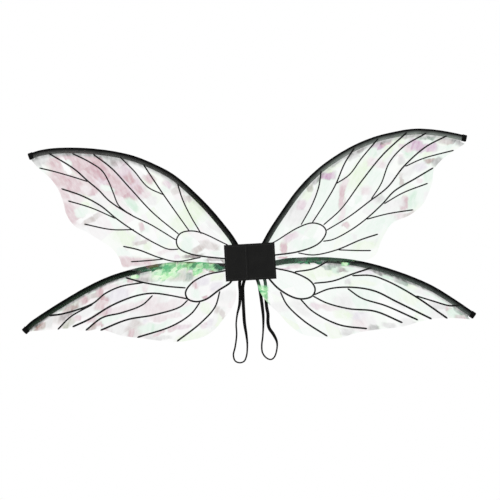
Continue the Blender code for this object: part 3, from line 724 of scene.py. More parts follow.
def moulded_material(name, dark, light, rough, grain_scale=500, metallic=0.0, specular=0.5):
    """Moulded or rolled stuff with a fine grain between two tones."""
    material, shader = new_material(name)
    at = place(material)
    grain = noise(material, at, grain_scale, 4).outputs["Fac"]
    set_inputs(material, shader, {
        "Base Color": ramp(material, grain, [(0.3, dark), (0.7, light)]),
        "Roughness": in_range(material, grain, 0.3, 0.7, rough - 0.07, rough + 0.07),
        "Metallic": metallic, "Specular IOR Level": specular})
    bumped(material, shader, grain, 0.0001, 0.5)
    return material


def drawn_wire_material():
    """Spring steel with fine draw marks round it and a little tarnish."""
    material, shader = new_material("spring_steel_wire")
    at = place(material)
    marks = noise(material, at, 2200, 2).outputs["Fac"]
    tarnish = noise(material, at, 90, 3).outputs["Fac"]
    colour = ramp(material, mixed(material, "FLOAT", 0.6, marks, tarnish),
                  [(0.3, (0.30, 0.29, 0.27)), (0.7, (0.52, 0.52, 0.53))])
    set_inputs(material, shader, {
        "Base Color": colour, "Roughness": in_range(material, marks, 0.3, 0.7, 0.3, 0.5),
        "Metallic": 1.0})
    bumped(material, shader, marks, 0.00005, 0.5)
    return material


def pile_material(name, scale):
    """Hook or loop tape: a rough field of tiny nylon ends."""
    material, shader = new_material(name)
    cells = node(material, "ShaderNodeTexVoronoi", {"Vector": place(material), "Scale": scale})
    pile = cells.outputs["Distance"]
    set_inputs(material, shader, {
        "Base Color": ramp(material, pile, [(0.0, (0.03, 0.03, 0.03)), (0.6, (0.004, 0.004, 0.004))]),
        "Roughness": in_range(material, pile, 0, 0.6, 0.7, 0.98)})
    bumped(material, shader, pile, 0.0004, 0.9)
    return material


def ink_material():
    """Printed veins: slightly uneven black ink."""
    material, shader = new_material("vein_ink")
    mottle = noise(material, place(material), 320, 3).outputs["Fac"]
    colour = ramp(material, mottle, [(0.3, (0.003, 0.0033, 0.0033)), (0.75, (0.009, 0.0095, 0.0095))])
    set_inputs(material, shader, {
        "Base Color": colour, "Roughness": in_range(material, mottle, 0.3, 0.7, 0.45, 0.65),
        "Specular IOR Level": 0.15})
    bumped(material, shader, mottle, 0.0001, 0.4)
    return material


def patch_mask(material, at, x, z, half_length, half_width, tilt):
    """1 inside a soft-edged, rounded box in the film's plane and 0 outside."""
    laid = node(material, "ShaderNodeMapping", {
        "Vector": at, "Location": (x * MM, 0, z * MM), "Rotation": (0, math.radians(-tilt), 0),
        "Scale": (half_length * MM, 1, half_width * MM)}, vector_type="TEXTURE").outputs["Vector"]
    squared = node(material, "ShaderNodeVectorMath", {0: laid, 1: laid},
                   operation="MULTIPLY").outputs["Vector"]
    far = node(material, "ShaderNodeVectorMath", {0: squared}, operation="LENGTH").outputs["Value"]
    return faded(material, far, PATCH_RIM, PATCH_CORE)


def blooms_in(wing, part):
    """The wing's patches that reach into its root part or its tip part."""
    found = []
    for look, *shape in BLOOMS[wing]:
        x, _, half_length, half_width, tilt = shape
        turn = math.radians(tilt)
        half = half_length * abs(math.cos(turn)) + half_width * abs(math.sin(turn))
        reach = PATCH_REACH * half + PATCH_STRAY
        join = FILM_JOINS[wing] / MM
        if (abs(x) - reach < join) if part == "root" else (abs(x) + reach > join):
            found.append((look, shape))
    return found


def shifted(material, at, chance, reach):
    """Coordinates moved by a random share of the reach, half of it either way."""
    centred = node(material, "ShaderNodeVectorMath", {0: chance, 1: (0.5, 0.5, 0.5)},
                   operation="SUBTRACT").outputs["Vector"]
    return node(material, "ShaderNodeVectorMath", {0: centred, 1: (reach, reach, reach), 2: at},
                operation="MULTIPLY_ADD").outputs["Vector"]


def facet_chance(material):
    """Three random numbers for each flat facet between the film's folds."""
    folds = node(material, "ShaderNodeAttribute", attribute_name="folds").outputs["Vector"]
    facet = node(material, "ShaderNodeVectorMath", {0: folds}, operation="FLOOR").outputs["Vector"]
    return node(material, "ShaderNodeTexWhiteNoise", {"Vector": facet}).outputs["Color"]


def painted_reflection_tones(material, at, wing):
    """Colours of the painted green reflection, cell by cell of a small crumple, for each of its looks."""
    laid = node(material, "ShaderNodeMapping", {
        "Vector": at, "Rotation": (0, math.radians(-FOLDS[wing][0][0]), 0), "Scale": (1.9, 1, 1)},
        vector_type="TEXTURE").outputs["Vector"]
    cells = node(material, "ShaderNodeTexVoronoi", {"Vector": laid, "Scale": 165.0}).outputs["Color"]
    chance = node(material, "ShaderNodeSeparateColor", {"Color": cells}).outputs["Red"]
    return {name: ramp(material, in_range(material, chance, 0, 1, low, high), REFLECTION_TONES)
            for name, (low, high) in PAINTED_REFLECTIONS.items()}


def with_patches(material, at, patches, looks, colour, cover):
    """The film's colour and cover with those patches on top that have one of the looks."""
    for look, shape in patches:
        if look in looks:
            patch_colour, patch_cover = looks[look]
            mask = patch_mask(material, at, *shape)
            colour = mixed(material, "RGBA", mask, colour, patch_colour)
            cover = mixed(material, "FLOAT", mask, cover, patch_cover)
    return colour, cover


def rod_strip_share(material, at, from_rod, wing):
    """How much of the light the film's grey strip stops, just outside the sleeve."""
    stopped, reach = ROD_STRIPS[wing]
    out = maths(material, "ABSOLUTE", node(material, "ShaderNodeSeparateXYZ", {0: at}).outputs["X"])
    edge_band = maths(material, "MULTIPLY", in_range(material, from_rod, *ROD_STRIP_START, 0, 1),
                in_range(material, from_rod, ROD_STRIP_START[1], reach, stopped, 0))
    return maths(material, "MULTIPLY", edge_band, in_range(material, out, *ROD_STRIP_GROWTH, ROD_STRIP_AT_ROOT, 1))


def film_material(wing, part):
    """Clear film that shows patches of pale colour, as iridescent film does where it buckles.

    Each facet between the folds has a faint tint of its own, and the borders of the stronger patches
    jump where they cross a fold. A patch is a share of coloured film in the clear one, under a
    glancing shine. The teal, emerald and glint patches are painted reflections of the lamps in
    the crumpled film, and a darker grey strip lies just outside the sleeve. The root part and the tip
    part differ only in which patches they carry.
    """
    material, shader = new_material(f"{wing}_film_{part}")
    patches = blooms_in(wing, part)
    at = place(material)
    facet = facet_chance(material)
    chance = node(material, "ShaderNodeSeparateColor", {"Color": facet}).outputs
    ruffled = shifted(material, at, noise(material, at, 55, 3).outputs["Color"], RUFFLE)
    patch_at = shifted(material, ruffled, facet, FACET_JUMP)
    grain = node(material, "ShaderNodeMapping", {
        "Vector": ruffled, "Rotation": (0, math.radians(-FOLDS[wing][1][0]), 0), "Scale": (2.6, 1, 1)},
        vector_type="TEXTURE").outputs["Vector"]
    streaks = noise(material, grain, 170, 4).outputs["Fac"]

    tints = [FILM_LOOKS[name][0] for name in TINTS[wing]]
    colour = ramp(material, chance["Red"], [(i / (len(tints) - 1), tint) for i, tint in enumerate(tints)])
    cover = in_range(material, chance["Green"], 0, 1, *FACET_COVER)
    plain = {name: ((*tint, 1), share) for name, (tint, share) in FILM_LOOKS.items()}
    colour, cover = with_patches(material, patch_at, patches, plain, colour, cover)
    from_rod = node(material, "ShaderNodeAttribute", attribute_name="from_rod").outputs["Fac"]
    lap = in_range(material, from_rod, *LAP, 0, 1)
    cover = maths(material, "MULTIPLY", cover, in_range(material, lap, 0, 1, LAP_COVER, 1))
    # A darker grey strip of the film just outside the sleeve, faint near the cover
    edge_band = rod_strip_share(material, at, from_rod, wing)
    colour = mixed(material, "RGBA", in_range(material, edge_band, 0, 0.4, 0, 1), colour, ROD_STRIP_GREY)
    cover = mixed(material, "FLOAT", edge_band, cover, 1.0)
    # Painted reflections of the lamps: green crumpled patches laid over the film's colour and cover
    painted_reflections = {name: (tones, REFLECTION_COVER) for name, tones in painted_reflection_tones(material, ruffled, wing).items()}
    colour, cover = with_patches(material, patch_at, patches, painted_reflections, colour, cover)
    uneven = maths(material, "MULTIPLY", in_range(material, streaks, 0.3, 0.7, 0.72, 1.28),
                   in_range(material, chance["Blue"], 0, 1, 0.75, 1.2))
    cover = maths(material, "MULTIPLY", cover, uneven)
    fine = noise(material, at, 260, 4).outputs["Fac"]

    set_inputs(material, shader, {
        "Base Color": colour, "Roughness": in_range(material, fine, 0.3, 0.7, 0.16, 0.3)})
    clear = node(material, "ShaderNodeBsdfTransparent")
    body = node(material, "ShaderNodeMixShader", {
        0: cover, 1: clear.outputs["BSDF"], 2: shader.outputs["BSDF"]})
    edge = node(material, "ShaderNodeLayerWeight", {"Blend": 0.5}).outputs["Facing"]
    glance = in_range(material, maths(material, "POWER", edge, 4.0), 0, 1, 0.02, 0.75)
    glance = maths(material, "MULTIPLY", glance, in_range(material, lap, 0, 1, LAP_GLANCE, 1))
    shine = node(material, "ShaderNodeBsdfGlossy", {"Color": (0.93, 1.0, 0.95, 1), "Roughness": 0.13})
    whole = node(material, "ShaderNodeMixShader", {
        0: glance, 1: body.outputs["Shader"], 2: shine.outputs["BSDF"]})
    bump = node(material, "ShaderNodeBump", {"Height": fine, "Distance": 0.0002, "Strength": 0.4})
    for target in (shader, shine):
        set_inputs(material, target, {"Normal": bump.outputs["Normal"]})
    show(material, whole.outputs["Shader"])
    return material


# ---------------------------------------------------------------- camera, light and floor

def camera():
    """A camera square on to the outer face, rolled as the photo is."""
    data = bpy.data.cameras.new("camera")
    data.sensor_width = SENSOR
    data.lens = SENSOR * VIEW_DISTANCE / VIEW_WIDTH
    turn = (math.cos(VIEW_ROLL), math.sin(VIEW_ROLL))
    axes = Matrix(((turn[0], 0, -turn[1]), (turn[1], 0, turn[0]), (0, -1, 0))).transposed()
    seen_from = bpy.data.objects.new("camera", data)
    seen_from.matrix_world = Matrix.Translation((VIEW_X, -VIEW_DISTANCE, VIEW_Z)) @ axes.to_4x4()
    bpy.context.scene.collection.objects.link(seen_from)
    bpy.context.scene.camera = seen_from


def soft_light(name, location, size, watts):
    """A square area light that faces the wings."""
    data = bpy.data.lights.new(name, "AREA")
    data.size = size
    data.energy = watts
    lamp = bpy.data.objects.new(name, data)
    lamp.location = location
    lamp.rotation_euler = (-Vector(location)).to_track_quat("-Z", "Y").to_euler()
    bpy.context.scene.collection.objects.link(lamp)


def studio():
    """A white room: pure white where the camera looks past the wings, a little softer as a light."""
    bpy.context.scene.view_settings.view_transform = "Standard"
    world = bpy.data.worlds.new("studio")
    bpy.context.scene.world = world
    world.use_nodes = True
    nodes, links = world.node_tree.nodes, world.node_tree.links
    nodes.clear()
    pick = nodes.new("ShaderNodeMixShader")
    links.new(nodes.new("ShaderNodeLightPath").outputs["Is Camera Ray"], pick.inputs[0])
    for socket, strength in ((1, ROOM_STRENGTH), (2, BACKDROP_STRENGTH)):
        shade = nodes.new("ShaderNodeBackground")
        shade.inputs["Strength"].default_value = strength
        shade.inputs["Color"].default_value = (1, 1, 1, 1)
        links.new(shade.outputs["Background"], pick.inputs[socket])
    links.new(pick.outputs["Shader"], nodes.new("ShaderNodeOutputWorld").inputs["Surface"])
    for name, (location, size, watts) in LAMPS.items():
        soft_light(name, location, size, watts)


def floor():
    """A plain pale disc under the hanging wings that fades out before its rim."""
    material, shader = new_material("studio_floor")
    at = place(material)
    speckle = noise(material, at, 40, 3).outputs["Fac"]
    tone = ramp(material, speckle, [(0.3, (0.80, 0.80, 0.79)), (0.7, (0.84, 0.84, 0.83))])
    set_inputs(material, shader, {"Base Color": tone, "Roughness": 0.8})
    reach = node(material, "ShaderNodeVectorMath", {0: at}, operation="LENGTH").outputs["Value"]
    fade = faded(material, reach, *FLOOR_FADE)
    clear = node(material, "ShaderNodeBsdfTransparent")
    mix = node(material, "ShaderNodeMixShader", {
        0: fade, 1: shader.outputs["BSDF"], 2: clear.outputs["BSDF"]})
    show(material, mix.outputs["Shader"])
    turns = [2 * math.pi * i / FLOOR_SIDES for i in range(FLOOR_SIDES)]
    rim = [(FLOOR_RADIUS * math.cos(t), FLOOR_RADIUS * math.sin(t), 0) for t in turns]
    disc = add_mesh("floor", rim, [tuple(range(FLOOR_SIDES))], material)
    disc.location = (0, 0, FLOOR_HEIGHT)


# ---------------------------------------------------------------- straps

def strap_twist(side, line):
    """How far the band has turned from face-on along its line."""
    lowest = int(np.argmin(line[:, 2]))
    down, up = [[height * MM for height in span] for span in STRAP_TURNS[side]]
    turn = np.empty(len(line))
    turn[:lowest] = smoothstep(-line[:lowest, 2], -down[0], -down[1])
    turn[lowest:] = smoothstep(-line[lowest:, 2], -up[0], -up[1])
    return SIDES[side] * STRAP_TWIST * turn


def strap(side, material, thread):
    """A ribbed elastic band along its route, with the bar tacks that hold its ends."""
    line = resampled(smooth_line(np.array(STRAP_ROUTES[side]) * MM), 2.2 * MM)
    along = headings(line)
    facing = np.array([0.0, 1.0, 0.0]) - along * along[:, 1:2]
    facing /= np.linalg.norm(facing, axis=1)[:, None]
    across = np.cross(along, facing)
    turn = strap_twist(side, line)[:, None]
    width_way = across * np.cos(turn) + facing * np.sin(turn)
    thick_way = facing * np.cos(turn) - across * np.sin(turn)
    angles = 2 * math.pi * (np.arange(STRAP_AROUND) + 0.5) / STRAP_AROUND
    half_width, half_thickness = STRAP_WIDTH / 2, STRAP_THICKNESS / 2
    w = half_width * np.sign(np.cos(angles)) * np.abs(np.cos(angles)) ** 0.7
    ribs = 1 - STRAP_RIB_DEPTH * np.cos(2 * math.pi * STRAP_RIBS * (w / STRAP_WIDTH + 0.5)) ** 2
    n = half_thickness * np.sign(np.sin(angles)) * np.abs(np.sin(angles)) ** 0.45 * ribs
    rings = line[:, None] + width_way[:, None] * w[None, :, None] + thick_way[:, None] * n[None, :, None]
    piece = add_mesh(f"{side}_elastic_strap", *loft(rings), material, sharp=60)
    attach(piece, "spine")
    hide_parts(f"{side}_strap")
    tacks = [bar_tack(side, end, thread) for end in ("upper", "lower")]


def stitch(start, end, outward, width=0.55 * MM, sides=6):
    """One raised stitch between two points: a thread that dips into the cloth at both ends."""
    start, end, outward = (np.asarray(v, float) for v in (start, end, outward))
    along = (end - start) / np.linalg.norm(end - start)
    across = np.cross(along, outward)
    angles = 2 * math.pi * np.arange(sides) / sides
    circle = np.cos(angles)[:, None] * across + np.sin(angles)[:, None] * outward
    rings = []
    for t in (0.0, 0.15, 0.5, 0.85, 1.0):
        swell = math.sin(math.pi * (0.12 + 0.76 * t))
        middle = start + (end - start) * t + outward * width * 0.32 * (swell - 0.35)
        rings.append(middle + width / 2 * (0.55 + 0.45 * swell) * circle)
    return loft(rings)


def bar_tack(side, end, material):
    """Close zigzag stitches over a strap's end, where the CAD bar tack lies."""
    node_name = f"{side}_{end}_bar_tack"
    low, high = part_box(node_name)
    count = 15
    xs = np.linspace(low.x + 0.3 * MM, high.x - 0.3 * MM, count + 1)
    y = (low.y + high.y) / 2
    stitches = []
    for i in range(count):
        bottom, top = (low.z, high.z) if i % 2 else (high.z, low.z)
        stitches.append(stitch((xs[i], y, bottom), (xs[i + 1], y, top), (0, 1, 0), 0.6 * MM))
    piece = add_mesh(f"{side}_{end}_tack_stitches", *joined(stitches), material)
    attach(piece, "spine")
    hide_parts(node_name)
    return piece


# ---------------------------------------------------------------- film and veins

def zigzag(phase):
    """A sharp fold's height from -0.5 to 0.5: highest at even numbers, lowest at odd ones."""
    return np.abs(phase % 2 - 1) - 0.5


def crossing(x, z, direction, spacing):
    """How many spacings each point lies across lines that run in a direction, in degrees."""
    turn = math.radians(direction)
    return (z * math.cos(turn) - x * math.sin(turn)) / spacing


def fold_phases(wing, x, z):
    """Where each point lies among the film's folds; the ridges and valleys are at whole numbers."""
    seed = WINGS.index(wing)
    bend = 5 * MM * np.sin(x / 0.041 + seed) * np.cos(z / 0.033 + 2 * seed)
    phases = [crossing(x + bend, z - bend, direction, spacing * MM) + 0.37 * seed + 0.29 * k
              for k, (direction, spacing, _) in enumerate(FOLDS[wing])]
    return np.column_stack(phases)


def crinkle(wing, x, z, from_sleeve, phases):
    """How far the film stands out towards -Y: flat in the cover and on the sleeve, buckled elsewhere."""
    seed = WINGS.index(wing)
    pivot = pivot_of(wing)
    radius = np.hypot(x - pivot[0], z - pivot[1])
    free = smoothstep(radius, *COVER_FREE) * smoothstep(from_sleeve, *SLEEVE_FREE)
    folds = zigzag(phases) @ np.array([height for _, _, height in FOLDS[wing]])
    side = 1 if wing.startswith("upper") else -1
    swell = 0.5 + 0.5 * np.sin(x / 0.052 + seed * 1.7)
    billow = side * BILLOW * smoothstep(from_sleeve, *SWELL_FREE) * swell
    first = FOLDS[wing][0][0]
    small = sum(height * zigzag(crossing(x, z, first + turn, spacing * MM))
                for turn, spacing, height in SMALL_FOLDS)
    return MM * (free * (folds + billow) + small * (STIFF_SHARE + (1 - STIFF_SHARE) * free))


def distance_from(line, x, z):
    """Distance of each point (x, z) from a line of points."""
    points = np.column_stack([x, z])
    return np.min(np.linalg.norm(points[:, None] - line[None], axis=2), axis=1)


def smooth_outline(outline, step):
    """The outline as a smooth closed curve through its points, with its corners kept."""
    ahead = np.roll(outline, -1, axis=0) - outline
    ahead /= np.linalg.norm(ahead, axis=1)[:, None]
    turn = np.einsum("ij,ij->i", ahead, np.roll(ahead, 1, axis=0))
    corners = np.flatnonzero(turn < math.cos(math.radians(33)))
    outline = np.roll(outline, -corners[0], axis=0)
    corners = np.append(corners - corners[0], len(outline))
    outline = np.vstack([outline, outline[:1]])
    curves = []
    for start, end in zip(corners, corners[1:]):
        part = outline[start:end + 1]
        line = smooth_line(part, 6) if len(part) > 2 else part
        curves.append(resampled(line, step)[:-1])
    return np.vstack(curves)


def inside(outline, points):
    """True for each point inside the closed outline, by counting crossings."""
    x, z = points[:, 0], points[:, 1]
    result = np.zeros(len(points), bool)
    for (x1, z1), (x2, z2) in zip(outline, np.roll(outline, -1, axis=0)):
        crosses = (z1 > z) != (z2 > z)
        at = x1 + (z - z1) * (x2 - x1) / np.where(z2 == z1, 1e-12, z2 - z1)
        result ^= crosses & (x < at)
    return result


def filled_grid(outline, step):
    """Triangle-grid points inside the outline, clear of its edge."""
    low, high = outline.min(0), outline.max(0)
    rows = np.arange(low[1], high[1], step * math.sqrt(3) / 2)
    points = []
    for index, z in enumerate(rows):
        xs = np.arange(low[0] + (index % 2) * step / 2, high[0], step)
        points.append(np.column_stack([xs, np.full(len(xs), z)]))
    points = np.vstack(points)
    points = points[inside(outline, points)]
    return points[distance_from(outline, points[:, 0], points[:, 1]) > 0.6 * step]


def over_the_rod(outline, line, sign):
    """The outline with its root edge drawn right over the rod."""
    inward = inward_of(line, sign)
    moved = outline.copy()
    start, end = ROOT_LAP
    for i, point in enumerate(outline):
        reach = np.linalg.norm(line - point, axis=1)
        near = int(np.argmin(reach))
        share = (smoothstep(point[0], start, start + ROOT_LAP_EASE[0])
                 * (1 - smoothstep(point[0], end - ROOT_LAP_EASE[1], end)))
        if reach[near] < 3 * MM:
            moved[i] = point - inward[near] * SLEEVE_WIDTH * 0.58 * share
    return moved


def film(wing, line, materials):
    """The buckled film of one wing with its printed veins."""
    outline = smooth_outline(film_outline(wing), FILM_STEP)
    if wing == "lower_left":
        outline = over_the_rod(outline, line, SIDES["left"])
    count = len(outline)
    points = np.vstack([outline, filled_grid(outline, FILM_STEP)])
    edges = [(i, (i + 1) % count) for i in range(count)]
    flat, _, faces, *_ = delaunay_2d_cdt([Vector(p) for p in points], edges, [], 1, 1e-7)
    x, z = np.array(flat).T
    phases = fold_phases(wing, x, z)
    from_rod = distance_from(line, x, z)
    y = depth_of(f"{wing}_film")[0] - crinkle(wing, x, z, from_rod, phases)
    parts = [materials[f"{wing}_{part}"] for part in ("root", "tip")]
    piece = add_mesh(f"{wing}_film_sheet", np.column_stack([x, y, z]), faces, parts[0], 180)
    piece.data.materials.append(parts[1])
    for face in piece.data.polygons:
        face.material_index = int(abs(face.center.x) > FILM_JOINS[wing])
    mark(piece, "folds", phases)
    mark(piece, "from_rod", from_rod)
    face_outwards(piece)
    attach(piece, f"{wing}_wing")
    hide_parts(f"{wing}_film")
    ink = veins(wing, piece, materials["ink"])


def face_outwards(piece):
    """Turn a sheet's faces towards -Y."""
    if piece.data.polygons[0].normal.y > 0:
        piece.data.flip_normals()


def veins(wing, sheet, material):
    """Raised lines of ink that follow the film's outer face."""
    mesh = sheet.data
    surface = BVHTree.FromPolygons([v.co for v in mesh.vertices], [p.vertices for p in mesh.polygons])
    shapes = []
    for route in VEINS[wing]:
        line = resampled(smooth_line(np.array(route) * MM), 2.5 * MM)
        run = distances(line)
        across = headings(line)[:, ::-1] * (-1, 1)
        ends = np.sqrt(np.clip(np.minimum(run, run[-1] - run) / (0.8 * MM) + 0.15, 0, 1))
        half = VEIN_WIDTHS[wing.split("_")[0]] / 2 * (0.85 + 0.25 * run / 0.2).clip(0.85, 1.1) * ends
        rings = []
        for (x, z), side, reach in zip(line, across, half):
            hit = surface.ray_cast(Vector((x, -0.1, z)), Vector((0, 1, 0)))[0]
            y = hit.y if hit else surface.find_nearest(Vector((x, mesh.vertices[0].co.y, z)))[0].y
            back, front = y - 0.03 * MM, y - 0.03 * MM - VEIN_THICKNESS
            ring = []
            for share, depth in ((-1, back), (-0.75, front), (0.75, front), (1, back)):
                ring.append((x + side[0] * reach * share, depth, z + side[1] * reach * share))
            rings.append(ring)
        shapes.append(loft(rings))
    piece = add_mesh(f"{wing}_veins", *joined(shapes), material, sharp=70)
    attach(piece, f"{wing}_wing")
    return piece


# ---------------------------------------------------------------- sleeves and end caps

def flat_rings(line, y, inward, half_width, front, back, around=24, power=0.55):
    """Rings of a flattened tube round a line in the X-Z plane, with front and back half depths."""
    angles = 2 * math.pi * np.arange(around) / around
    across = np.sign(np.cos(angles)) * np.abs(np.cos(angles)) ** power
    depth = np.sign(np.sin(angles)) * np.abs(np.sin(angles)) ** power
    rings = []
    for (x, z), side, w, f, b in zip(line, inward, half_width, front, back):
        reach = across * w
        deep = np.where(depth < 0, depth * f, depth * b)
        rings.append(np.column_stack([x + side[0] * reach, y + deep, z + side[1] * reach]))
    return rings


def inward_of(line, sign):
    """Unit vectors from the rod towards its film."""
    along = headings(line)
    return np.column_stack([-along[:, 1], along[:, 0]]) * -sign


def sleeve(wing, line, material):
    """The soft sleeve, slightly puckered where it was pushed on to its wire."""
    y, half_depth = depth_of(f"{wing}_sleeve")
    line = resampled(line, 3 * MM)
    inward = inward_of(line, sign_of(wing))
    run = distances(line)
    puckers = np.sin(run / 0.0047 + 1.3) * np.sin(run / 0.0171) + 0.6 * np.sin(run / 0.0029 + 0.5)
    half_width = SLEEVE_WIDTH / 2 + 0.05 * MM * puckers
    rings = flat_rings(line, y, inward, half_width, np.full(len(line), half_depth),
                       half_depth + 0.05 * MM * (puckers - 1.6))
    piece = add_mesh(f"{wing}_rod_sleeve", *loft(rings), material, sharp=75)
    # Painted reflection of the white room in the film over the sleeve: grey that grows towards the film's
    # side and towards the tip
    shares = np.einsum("kij,kj->ki", np.array(rings)[:, :, ::2] - line[:, None], inward)
    haze = (np.interp(shares / half_width[:, None], *zip(*REFLECTION_ACROSS))
            * np.interp(run / run[-1], *zip(*REFLECTION_ALONG))[:, None])
    mark(piece, "haze", haze[:, :, None] * SLEEVE_REFLECTION[wing])
    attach(piece, f"{wing}_wing")
    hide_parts(f"{wing}_sleeve")


def end_cap(wing, line, material):
    """A flattened cup with a rolled rim and a rounded end, pushed over the tip of the sleeve."""
    y, half_depth = depth_of(f"{wing}_end_cap")
    onwards = (line[-1] - line[-2]) / np.linalg.norm(line[-1] - line[-2])
    carried = np.vstack([line, line[-1] + onwards * 3 * MM])
    run = distances(carried)
    offsets, size = np.array(CAP_PROFILE).T
    at = distances(line)[-1] + offsets * MM
    middle = np.column_stack([np.interp(at, run, column) for column in carried.T])
    inward = np.tile(inward_of(line, sign_of(wing))[-1], (len(CAP_PROFILE), 1))
    rings = flat_rings(middle, y, inward, CAP_WIDTH / 2 * size, half_depth * size, half_depth * size)
    piece = add_mesh(f"{wing}_tip_cap", *loft(rings), material, sharp=50)
    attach(piece, f"{wing}_wing")
    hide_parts(f"{wing}_end_cap")


# ---------------------------------------------------------------- the cover

def panel_rise(x, z, box, hemmed):
    """How far the cloth's outer face stands proud: its hems, the stitched groove and a slack middle."""
    x0, x1, z0, z1 = box
    reach = {"left": x - x0, "right": x1 - x, "bottom": z - z0, "top": z1 - z}
    edge = np.min([reach[name] for name in hemmed], axis=0)
    edge_band = HEM_RISE * smoothstep(edge, 0, 0.9 * MM) * (1 - smoothstep(edge, HEM - 0.5 * MM, HEM + 0.4 * MM))
    groove = GROOVE_DEPTH * np.exp(-((edge - STITCH_INSET) / (0.5 * MM)) ** 2)
    slack = SLACK * smoothstep(edge, HEM, 16 * MM) * (
        np.sin(x / 0.0087 + 0.6) * np.cos(z / 0.0119) + 0.5 * np.sin((x + z) / 0.0052))
    round_off = 0.35 * MM * (1 - smoothstep(edge, 0, 0.8 * MM))
    return edge_band - groove + slack * 0.6 - round_off


def panel(name, x0, x1, y_outer, y_inner, hemmed, material):
    """A cloth panel of the cover, as a closed thin shell; y_outer may be in front of or behind y_inner."""
    low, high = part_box("back_band")
    z0, z1 = low.z, high.z
    columns = graded(x0, x1)
    rows = graded(z0, z1)
    xs, zs = np.meshgrid(columns, rows)
    way = math.copysign(1, y_outer - y_inner)
    outer = y_outer + way * panel_rise(xs, zs, (x0, x1, z0, z1), hemmed)
    inner = np.full_like(xs, y_inner)
    grid = [np.stack([xs, depth, zs], axis=2).reshape(-1, 3) for depth in (outer, inner)]
    across, up = len(columns), len(rows)
    size = across * up
    faces = []
    for j in range(up - 1):
        for i in range(across - 1):
            a = j * across + i
            quad = (a, a + 1, a + across + 1, a + across)
            faces.append(quad)
            faces.append(tuple(size + k for k in reversed(quad)))
    rim = (list(range(across)) + [j * across + across - 1 for j in range(1, up)]
           + [(up - 1) * across + i for i in range(across - 2, -1, -1)]
           + [j * across for j in range(up - 2, 0, -1)])
    for a, b in zip(rim, rim[1:] + rim[:1]):
        faces.append((a, b, size + b, size + a))
    return add_mesh(name, askew(np.vstack(grid)), faces, material, sharp=60)


def askew(points):
    """Points of the cloth turned and lifted as it hangs on its boards."""
    x, y, z = np.asarray(points).T
    c, s = math.cos(COVER_TURN), math.sin(COVER_TURN)
    return np.column_stack([x * c - z * s, y, x * s + z * c + COVER_LIFT])


def graded(start, end):
    """Grid lines about 1.3 mm apart, closer at both ends, where the cloth is rolled."""
    fine = np.array([0, 0.25, 0.55, 0.9]) * MM
    middle = np.linspace(start + 1.4 * MM, end - 1.4 * MM, max(2, round((end - start) / (1.3 * MM))))
    return np.concatenate([start + fine, middle, (end - fine)[::-1]])


def stitches(name, runs, y, outward, material):
    """Rows of stitches; a run is its two ends as (x, z)."""
    shapes = []
    for start, end in runs:
        start, end = np.array(start), np.array(end)
        length = np.linalg.norm(end - start)
        along = (end - start) / length
        for at in np.arange(0, length - STITCH_LENGTH, STITCH_PITCH):
            a = start + along * at
            b = a + along * STITCH_LENGTH
            shapes.append(stitch((a[0], y, a[1]), (b[0], y, b[1]), (0, outward, 0)))
    points, faces = joined(shapes)
    return add_mesh(name, askew(points), faces, material, sharp=70)


def cover(cloth, thread):
    """Front and back of the cover: on each side one panel that reaches from the spine to the outer edge of
    its half.
    """
    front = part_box("closing_flap")
    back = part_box("back_band")
    flap_edge = front[1].x
    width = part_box("right_front_cloth")[1].x
    panels = {
        "left": {"front": (-width, flap_edge, ("left", "right", "bottom", "top"),
                           ("left_front_cloth", "closing_flap")),
                 "back": (-width, -0.15 * MM, ("left", "bottom", "top"),
                          ("left_back_cloth", "back_band"))},
        "right": {"front": (flap_edge + 0.2 * MM, width, ("right", "bottom", "top"),
                            ("right_front_cloth", "under_flap")),
                  "back": (0.15 * MM, width, ("right", "bottom", "top"), ("right_back_cloth",))},
    }
    for side, sign in SIDES.items():
        for face, (x0, x1, hemmed, nodes) in panels[side].items():
            low, high = front if face == "front" else back
            y_outer, y_inner = (low.y, high.y) if face == "front" else (high.y, low.y)
            drop = FLAP_DROP if (side, face) == ("right", "front") else 0
            piece = panel(f"cover_{face}_{side}", x0, x1, y_outer + drop, y_inner, hemmed, cloth)
            rows = stitch_rows(x0, x1, low.z, high.z, hemmed)
            outward = -1 if face == "front" else 1
            stitch_y = y_outer + drop + outward * STITCH_STANDS
            sewn = stitches(f"cover_{face}_{side}_stitches", rows, stitch_y, outward, thread)
            for part in (piece, sewn):
                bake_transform(part)
            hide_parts(*nodes)


def stitch_rows(x0, x1, z0, z1, hemmed):
    """The seams along a panel's hemmed edges."""
    left = x0 + (STITCH_INSET if "left" in hemmed else 0.5 * MM)
    right = x1 - (STITCH_INSET if "right" in hemmed else 0.5 * MM)
    bottom, top = z0 + STITCH_INSET, z1 - STITCH_INSET
    rows = [((left, bottom), (right, bottom)), ((left, top), (right, top))]
    if "left" in hemmed:
        rows.append(((left, bottom), (left, top)))
    if "right" in hemmed:
        rows.append(((right, bottom), (right, top)))
    return rows


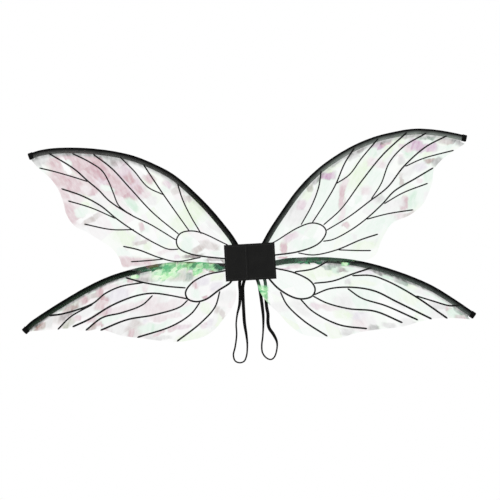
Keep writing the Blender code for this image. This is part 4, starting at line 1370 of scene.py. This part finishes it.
def gussets(cloth):
    """Short strips that close the spine's top and bottom between the front and the back cloth."""
    front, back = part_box("closing_flap"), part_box("back_band")
    ends = {"top": (back[1].z, 1), "bottom": (back[0].z, -1)}
    for name, (z, sign) in ends.items():
        reach = GUSSETS[name]
        rings = []
        for x in np.linspace(-reach, reach, 24):
            ring = []
            for t in np.linspace(0, 1, 12):
                y = front[1].y + (back[0].y - front[1].y) * t
                dip = 1.6 * MM * math.sin(math.pi * t) + 0.15 * MM * math.sin(x / 0.0031)
                ring.append((x, y, z - sign * (0.8 * MM + dip)))
            ring += [(px, py, pz - sign * 0.6 * MM) for px, py, pz in reversed(ring)]
            rings.append(ring)
        points, faces = loft(rings)
        piece = add_mesh(f"spine_{name}_gusset", askew(points), faces, cloth, sharp=50)
        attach(piece, "spine")


# ---------------------------------------------------------------- carried-over CAD nodes

def dress(names, material):
    """Give CAD nodes that stay a material."""
    for name in names:
        slots = frame["nodes"][name].data.materials
        slots.clear()
        slots.append(material)


def dress_frame():
    """Materials of the CAD parts that stay."""
    dress([f"{side}_core_board" for side in SIDES],
          moulded_material("core_board_grey", (0.10, 0.095, 0.09), (0.22, 0.21, 0.20), 0.8, 700))
    dress([f"{wing}_rivet" for wing in WINGS],
          moulded_material("nickel_rivet", (0.50, 0.50, 0.50), (0.66, 0.66, 0.67), 0.3, 900, 1.0))
    dress([f"{wing}_washer" for wing in WINGS],
          moulded_material("nylon_washer", (0.68, 0.68, 0.64), (0.80, 0.80, 0.77), 0.45, 600))
    dress([f"{wing}_wire" for wing in WINGS], drawn_wire_material())
    dress(["hook_tape"], pile_material("hook_tape_pile", 900.0))
    dress(["loop_tape"], pile_material("loop_tape_pile", 1600.0))


# ---------------------------------------------------------------- making

def main():
    """Every visible piece, then the looks of the CAD nodes that stay."""
    camera()
    thread = thread_material()
    elastic = elastic_material()
    for side in SIDES:
        strap(side, elastic, thread)
    studio()
    floor()
    materials = {f"{wing}_{part}": film_material(wing, part) for wing in WINGS for part in ("root", "tip")}
    materials["ink"] = ink_material()
    plastic = sleeve_material()
    cap_plastic = moulded_material("tip_cap_plastic", (0.0012, 0.0012, 0.0012), (0.004, 0.004, 0.004), 0.5,
                                   specular=0.06)
    for wing in WINGS:
        line = middle_line(wing)
        sleeve(wing, line, plastic)
        end_cap(wing, line, cap_plastic)
        film(wing, line, materials)
    cloth = cloth_material()
    cover(cloth, thread)
    gussets(cloth)
    dress_frame()


main()
